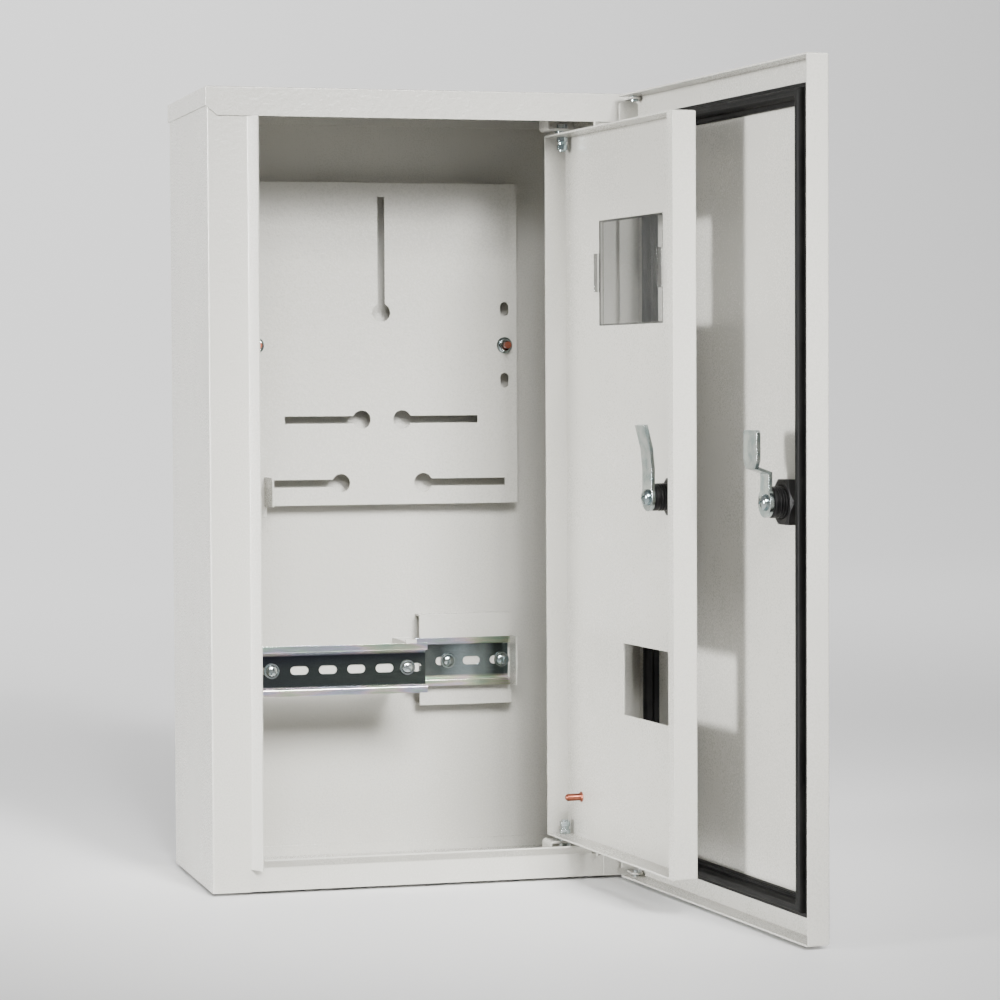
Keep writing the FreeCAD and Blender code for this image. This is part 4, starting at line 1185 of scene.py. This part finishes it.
@dataclass
class Grommet(Piece):
    """A rubber grommet in a cable hole, with a rounded rim on each side of the sheet."""

    neck: float = 17.0 * MM
    lip: float = 21.0 * MM
    bore: float = 12.0 * MM
    sheet: float = 1.2 * MM
    sheet_drop: float = 0.6 * MM
    edge: float = 0.5 * MM
    lip_edge: float = 0.4 * MM
    under_slope: Span = (3.0 * MM, 1.2 * MM)
    under_rise: float = 2.2 * MM
    over_slope: float = 1.4 * MM

    def build(self, shop: Paintshop) -> bpy.types.Object:
        """Turn the grommet.

        Args:
            shop: The paintshop.

        Returns:
            The finished piece.
        """
        low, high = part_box(self.node)
        under = (low.z + high.z - self.sheet) / 2.0 - self.sheet_drop
        over = under + self.sheet
        mouth = self.bore + self.edge
        lip = self.lip - self.lip_edge
        outline = [
            (self.bore, low.z + self.edge), (mouth, low.z),
            (self.lip - self.under_slope[0], low.z + self.under_slope[1]),
            (lip, low.z + self.under_rise), (self.lip, under - self.edge), (lip, under),
            (self.neck, under), (self.neck, over), (lip, over), (self.lip, over + self.edge),
            (self.lip - self.over_slope, over + self.over_slope), (mouth, high.z),
            (self.bore, high.z - self.edge), (self.bore, low.z + self.edge)]
        item = Workbench.turned(f"{self.node}_turned", outline, Axis.UP, 56)
        Workbench.smooth(item)
        Workbench.settle(item, ((low.x + high.x) / 2.0, (low.y + high.y) / 2.0, 0.0))
        return self.hand_over(item, shop)


class Assembly:
    """A sub-assembly of the box, built piece by piece."""

    def pieces(self) -> list[Piece]:
        """The pieces that get more shape than their nodes have."""
        raise NotImplementedError

    def build(self, shop: Paintshop) -> list[bpy.types.Object]:
        """Build and dress every piece, in order."""
        return [piece.build(shop) for piece in self.pieces()]


@dataclass
class Housing(Assembly):
    """The folded sheets of the body with what is fixed to them, and the cable grommets."""

    sheets: tuple[str, ...] = (
        "body_shell", "roof_cap", "base_tray", "meter_plate", "plate_tab", "outer_strike",
        "inner_strike", "front_rail_bridge", "rear_rail_bracket", "inner_hinge_bracket_top",
        "inner_hinge_bracket_bottom", "outer_hinge_ear_top", "outer_hinge_ear_bottom")
    grommets: tuple[str, ...] = (
        "cable_grommet_left", "cable_grommet_middle", "cable_grommet_right")

    def pieces(self) -> list[Piece]:
        """The sheets, painted, and the grommets."""
        return [*(EasedPart(node, "body", Finish.PAINT) for node in self.sheets),
                *(Grommet(node, "body", Finish.RUBBER) for node in self.grommets)]


@dataclass
class MountingGear(Assembly):
    """The plate's nuts, and the two rails with their screws."""

    rail_edge: float = 0.0002

    def pieces(self) -> list[Piece]:
        """The nuts, the rails and the screws."""
        return [
            PlateNuts("plate_nuts", "body", Finish.ZINC),
            EasedPart("front_rail", "body", Finish.RAIL, self.rail_edge),
            EasedPart("rear_rail", "body", Finish.RAIL, self.rail_edge),
            PanScrews("front_rail_screws", "body", Finish.ZINC),
            PanScrews("rear_rail_screws", "body", Finish.ZINC),
        ]


@dataclass
class Door(Assembly):
    """A folded door with its quarter turn lock."""

    side: str = "outer"
    cam_edge: float = 0.00035
    cam_steps: int = 3
    screw_high: float = 3.2 * MM

    def own_pieces(self) -> list[Piece]:
        """What only this door has beside its sheet."""
        raise NotImplementedError

    def pieces(self) -> list[Piece]:
        """The sheet, what only this door has, and the lock."""
        door, latch = f"{self.side}_door", f"{self.side}_latch"
        lock = Stance.at_joint(f"{self.side}_cam_turn", f"{self.side}_door_hinge")
        return [
            EasedPart(door, door, Finish.PAINT),
            *self.own_pieces(),
            LockBarrel(f"{self.side}_lock_housing", door, Finish.NYLON, lock),
            LockNut(f"{self.side}_lock_nut", door, Finish.NYLON, lock),
            EasedPart(f"{self.side}_cam", latch, Finish.ZINC, self.cam_edge, self.cam_steps),
            PanScrews(f"{self.side}_cam_screw", latch, Finish.ZINC, lock, 1, False,
                      self.screw_high),
        ]


@dataclass
class OuterDoor(Door):
    """The outer door, with the rubber seal round its inside."""

    seal_edge: float = 0.0012
    seal_steps: int = 3

    def own_pieces(self) -> list[Piece]:
        """The seal."""
        return [EasedPart("door_gasket", "outer_door", Finish.RUBBER, self.seal_edge,
                          self.seal_steps)]


@dataclass
class InnerDoor(Door):
    """The inner door, with its window, its earth stud and the nuts of its hinges."""

    side: str = "inner"
    pane_edge: float = 0.0003

    def own_pieces(self) -> list[Piece]:
        """The window."""
        return [EasedPart("window_pane", "inner_door", Finish.PANE, self.pane_edge)]

    def pieces(self) -> list[Piece]:
        """The door's pieces, then the stud and the hinges' nuts."""
        pin = Stance.at_joint("inner_door_hinge", "inner_door_hinge")
        return super().pieces() + [
            EarthStud("earth_stud", "inner_door", Finish.COPPER, pin),
            HingeNut("inner_hinge_nut_top", "inner_door", Finish.ZINC, pin),
            HingeNut("inner_hinge_nut_bottom", "inner_door", Finish.ZINC, pin),
        ]


@dataclass(frozen=True)
class Lamp:
    """A soft rectangular light aimed at a spot, with its beam narrowed to an angle in degrees."""

    name: str
    place: Spot
    aim: Spot
    size: Span
    beam: float
    watts: float

    def hang(self) -> None:
        """Put the light in the scene."""
        light = bpy.data.lights.new(self.name, "AREA")
        light.shape = "RECTANGLE"
        light.size, light.size_y = self.size
        light.spread = math.radians(self.beam)
        light.energy = self.watts
        holder = bpy.data.objects.new(self.name, light)
        holder.location = self.place
        ahead = Vector(self.aim) - Vector(self.place)
        holder.rotation_euler = ahead.to_track_quat("-Z", "Y").to_euler()
        bpy.context.collection.objects.link(holder)


@dataclass
class Studio:
    """The pale floor, the soft lights and the camera."""

    floor_level: float = -0.2725
    floor_side: float = 9.0
    backdrop: Spot = (0.0, 0.6, 3.5)
    backdrop_round: float = 1.2
    backdrop_steps: int = 12
    paper: Colour = (0.88, 0.88, 0.88)
    paper_gloss: float = 0.85
    air: float = 0.3
    box: Spot = (0.03, -0.25, 0.0)
    doors: Spot = (0.15, -0.40, -0.05)
    middle: Spot = (0.05, -0.2, 0.0)
    key_size: Span = (0.6, 0.6)
    key_beam: float = 22.0
    door_beam: float = 18.0
    open_beam: float = 180.0
    eye: Spot = (-0.5291, -2.2608, 0.0724)
    yaw: float = 15.361
    pitch: float = -2.115
    roll: float = -0.278
    focal: float = 3201.6
    frame_width: float = 1000.0
    sensor: float = 36.0

    def build(self) -> None:
        """Make the whole studio."""
        self.make_floor()
        self.make_world()
        self.make_lights()
        self.make_camera()

    def make_floor(self) -> None:
        """A plain pale floor that curves up into a backdrop far behind."""
        place = (0.0, 0.0, self.floor_level)
        bpy.ops.mesh.primitive_plane_add(size=self.floor_side, location=place)
        floor = bpy.context.object
        floor.name = "studio_floor"
        Workbench.settle(floor)
        back = self.floor_side / 2.0

        def is_back_edge(edge: bpy.types.MeshEdge) -> bool:
            """Whether an edge is the floor's far edge."""
            ends = [floor.data.vertices[index].co for index in edge.vertices]
            return all(abs(end.y - back) < MM for end in ends)

        Workbench.select_edges(floor, is_back_edge)
        bpy.ops.mesh.extrude_edges_move(TRANSFORM_OT_translate={"value": self.backdrop})
        Workbench.leave_edit()
        Workbench.apply(floor, "BEVEL", {"width": self.backdrop_round, "limit_method": "ANGLE",
                                         "segments": self.backdrop_steps})
        Workbench.take(floor)
        bpy.ops.object.shade_smooth()
        bench = ShaderBench("studio_paper")
        paper = bench.finish({"Base Color": self.paper, "Roughness": self.paper_gloss})
        floor.data.materials.append(paper)

    def make_world(self) -> None:
        """A dim even surround, so that metal keeps its contrast."""
        world = bpy.data.worlds.new("studio_air")
        world.use_nodes = True
        backing = world.node_tree.nodes["Background"]
        backing.inputs["Color"].default_value = (1.0, 1.0, 1.0, 1.0)
        backing.inputs["Strength"].default_value = self.air
        bpy.context.scene.world = world

    def make_lights(self) -> None:
        """Narrow soft beams on the box from the front and the left, and a wide wash behind it."""
        key = (self.box, self.key_size, self.key_beam)
        for lamp in (
                Lamp("key_high", (-0.15, -2.5, 1.5), *key, 2.0),
                Lamp("key_left", (-0.7, -2.5, 1.1), *key, 0.95),
                Lamp("key_right", (0.4, -2.6, 1.1), *key, 3.4),
                Lamp("low_fill", (-0.3, -2.8, 0.5), self.middle, (0.7, 0.6), self.open_beam, 3.0),
                Lamp("door_fill", (-2.4, -0.85, 0.1), self.doors, (1.4, 1.4), self.door_beam, 13.5),
                Lamp("wash", (0.0, 2.0, 3.2), (0.0, 4.5, 0.6), (3.0, 1.5), self.open_beam, 200.0)):
            lamp.hang()

    def make_camera(self) -> None:
        """The camera, at the photograph's viewpoint."""
        yaw, pitch, roll = (math.radians(turn) for turn in (self.yaw, self.pitch, self.roll))
        ahead = Vector((math.sin(yaw) * math.cos(pitch), math.cos(yaw) * math.cos(pitch),
                        math.sin(pitch)))
        level = Vector((math.cos(yaw), -math.sin(yaw), 0.0))
        above = level.cross(ahead)
        right = level * math.cos(roll) + above * math.sin(roll)
        up = above * math.cos(roll) - level * math.sin(roll)
        lens = bpy.data.cameras.new("photograph_view")
        lens.sensor_fit = "HORIZONTAL"
        lens.sensor_width = self.sensor
        lens.lens = self.focal * self.sensor / self.frame_width
        camera = bpy.data.objects.new("photograph_view", lens)
        turn = Matrix((right, up, -ahead)).transposed().to_4x4()
        camera.matrix_world = Matrix.Translation(Vector(self.eye)) @ turn
        bpy.context.collection.objects.link(camera)
        bpy.context.scene.camera = camera


def main() -> None:
    """Build every sub-assembly, then the studio."""
    logging.basicConfig(level=logging.INFO, format="%(name)s: %(message)s")
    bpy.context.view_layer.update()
    Workbench.clear_selection()
    shop = Paintshop()
    shop.dress_nodes()
    log.info("finishes on %d nodes", len(frame["nodes"]))
    for assembly in (Housing(), MountingGear(), OuterDoor(), InnerDoor()):
        for item in assembly.build(shop):
            kind = type(assembly).__name__
            log.info("%s: %s, %d faces", kind, item.name, len(item.data.polygons))
    Studio().build()


if __name__ == "__main__":
    main()
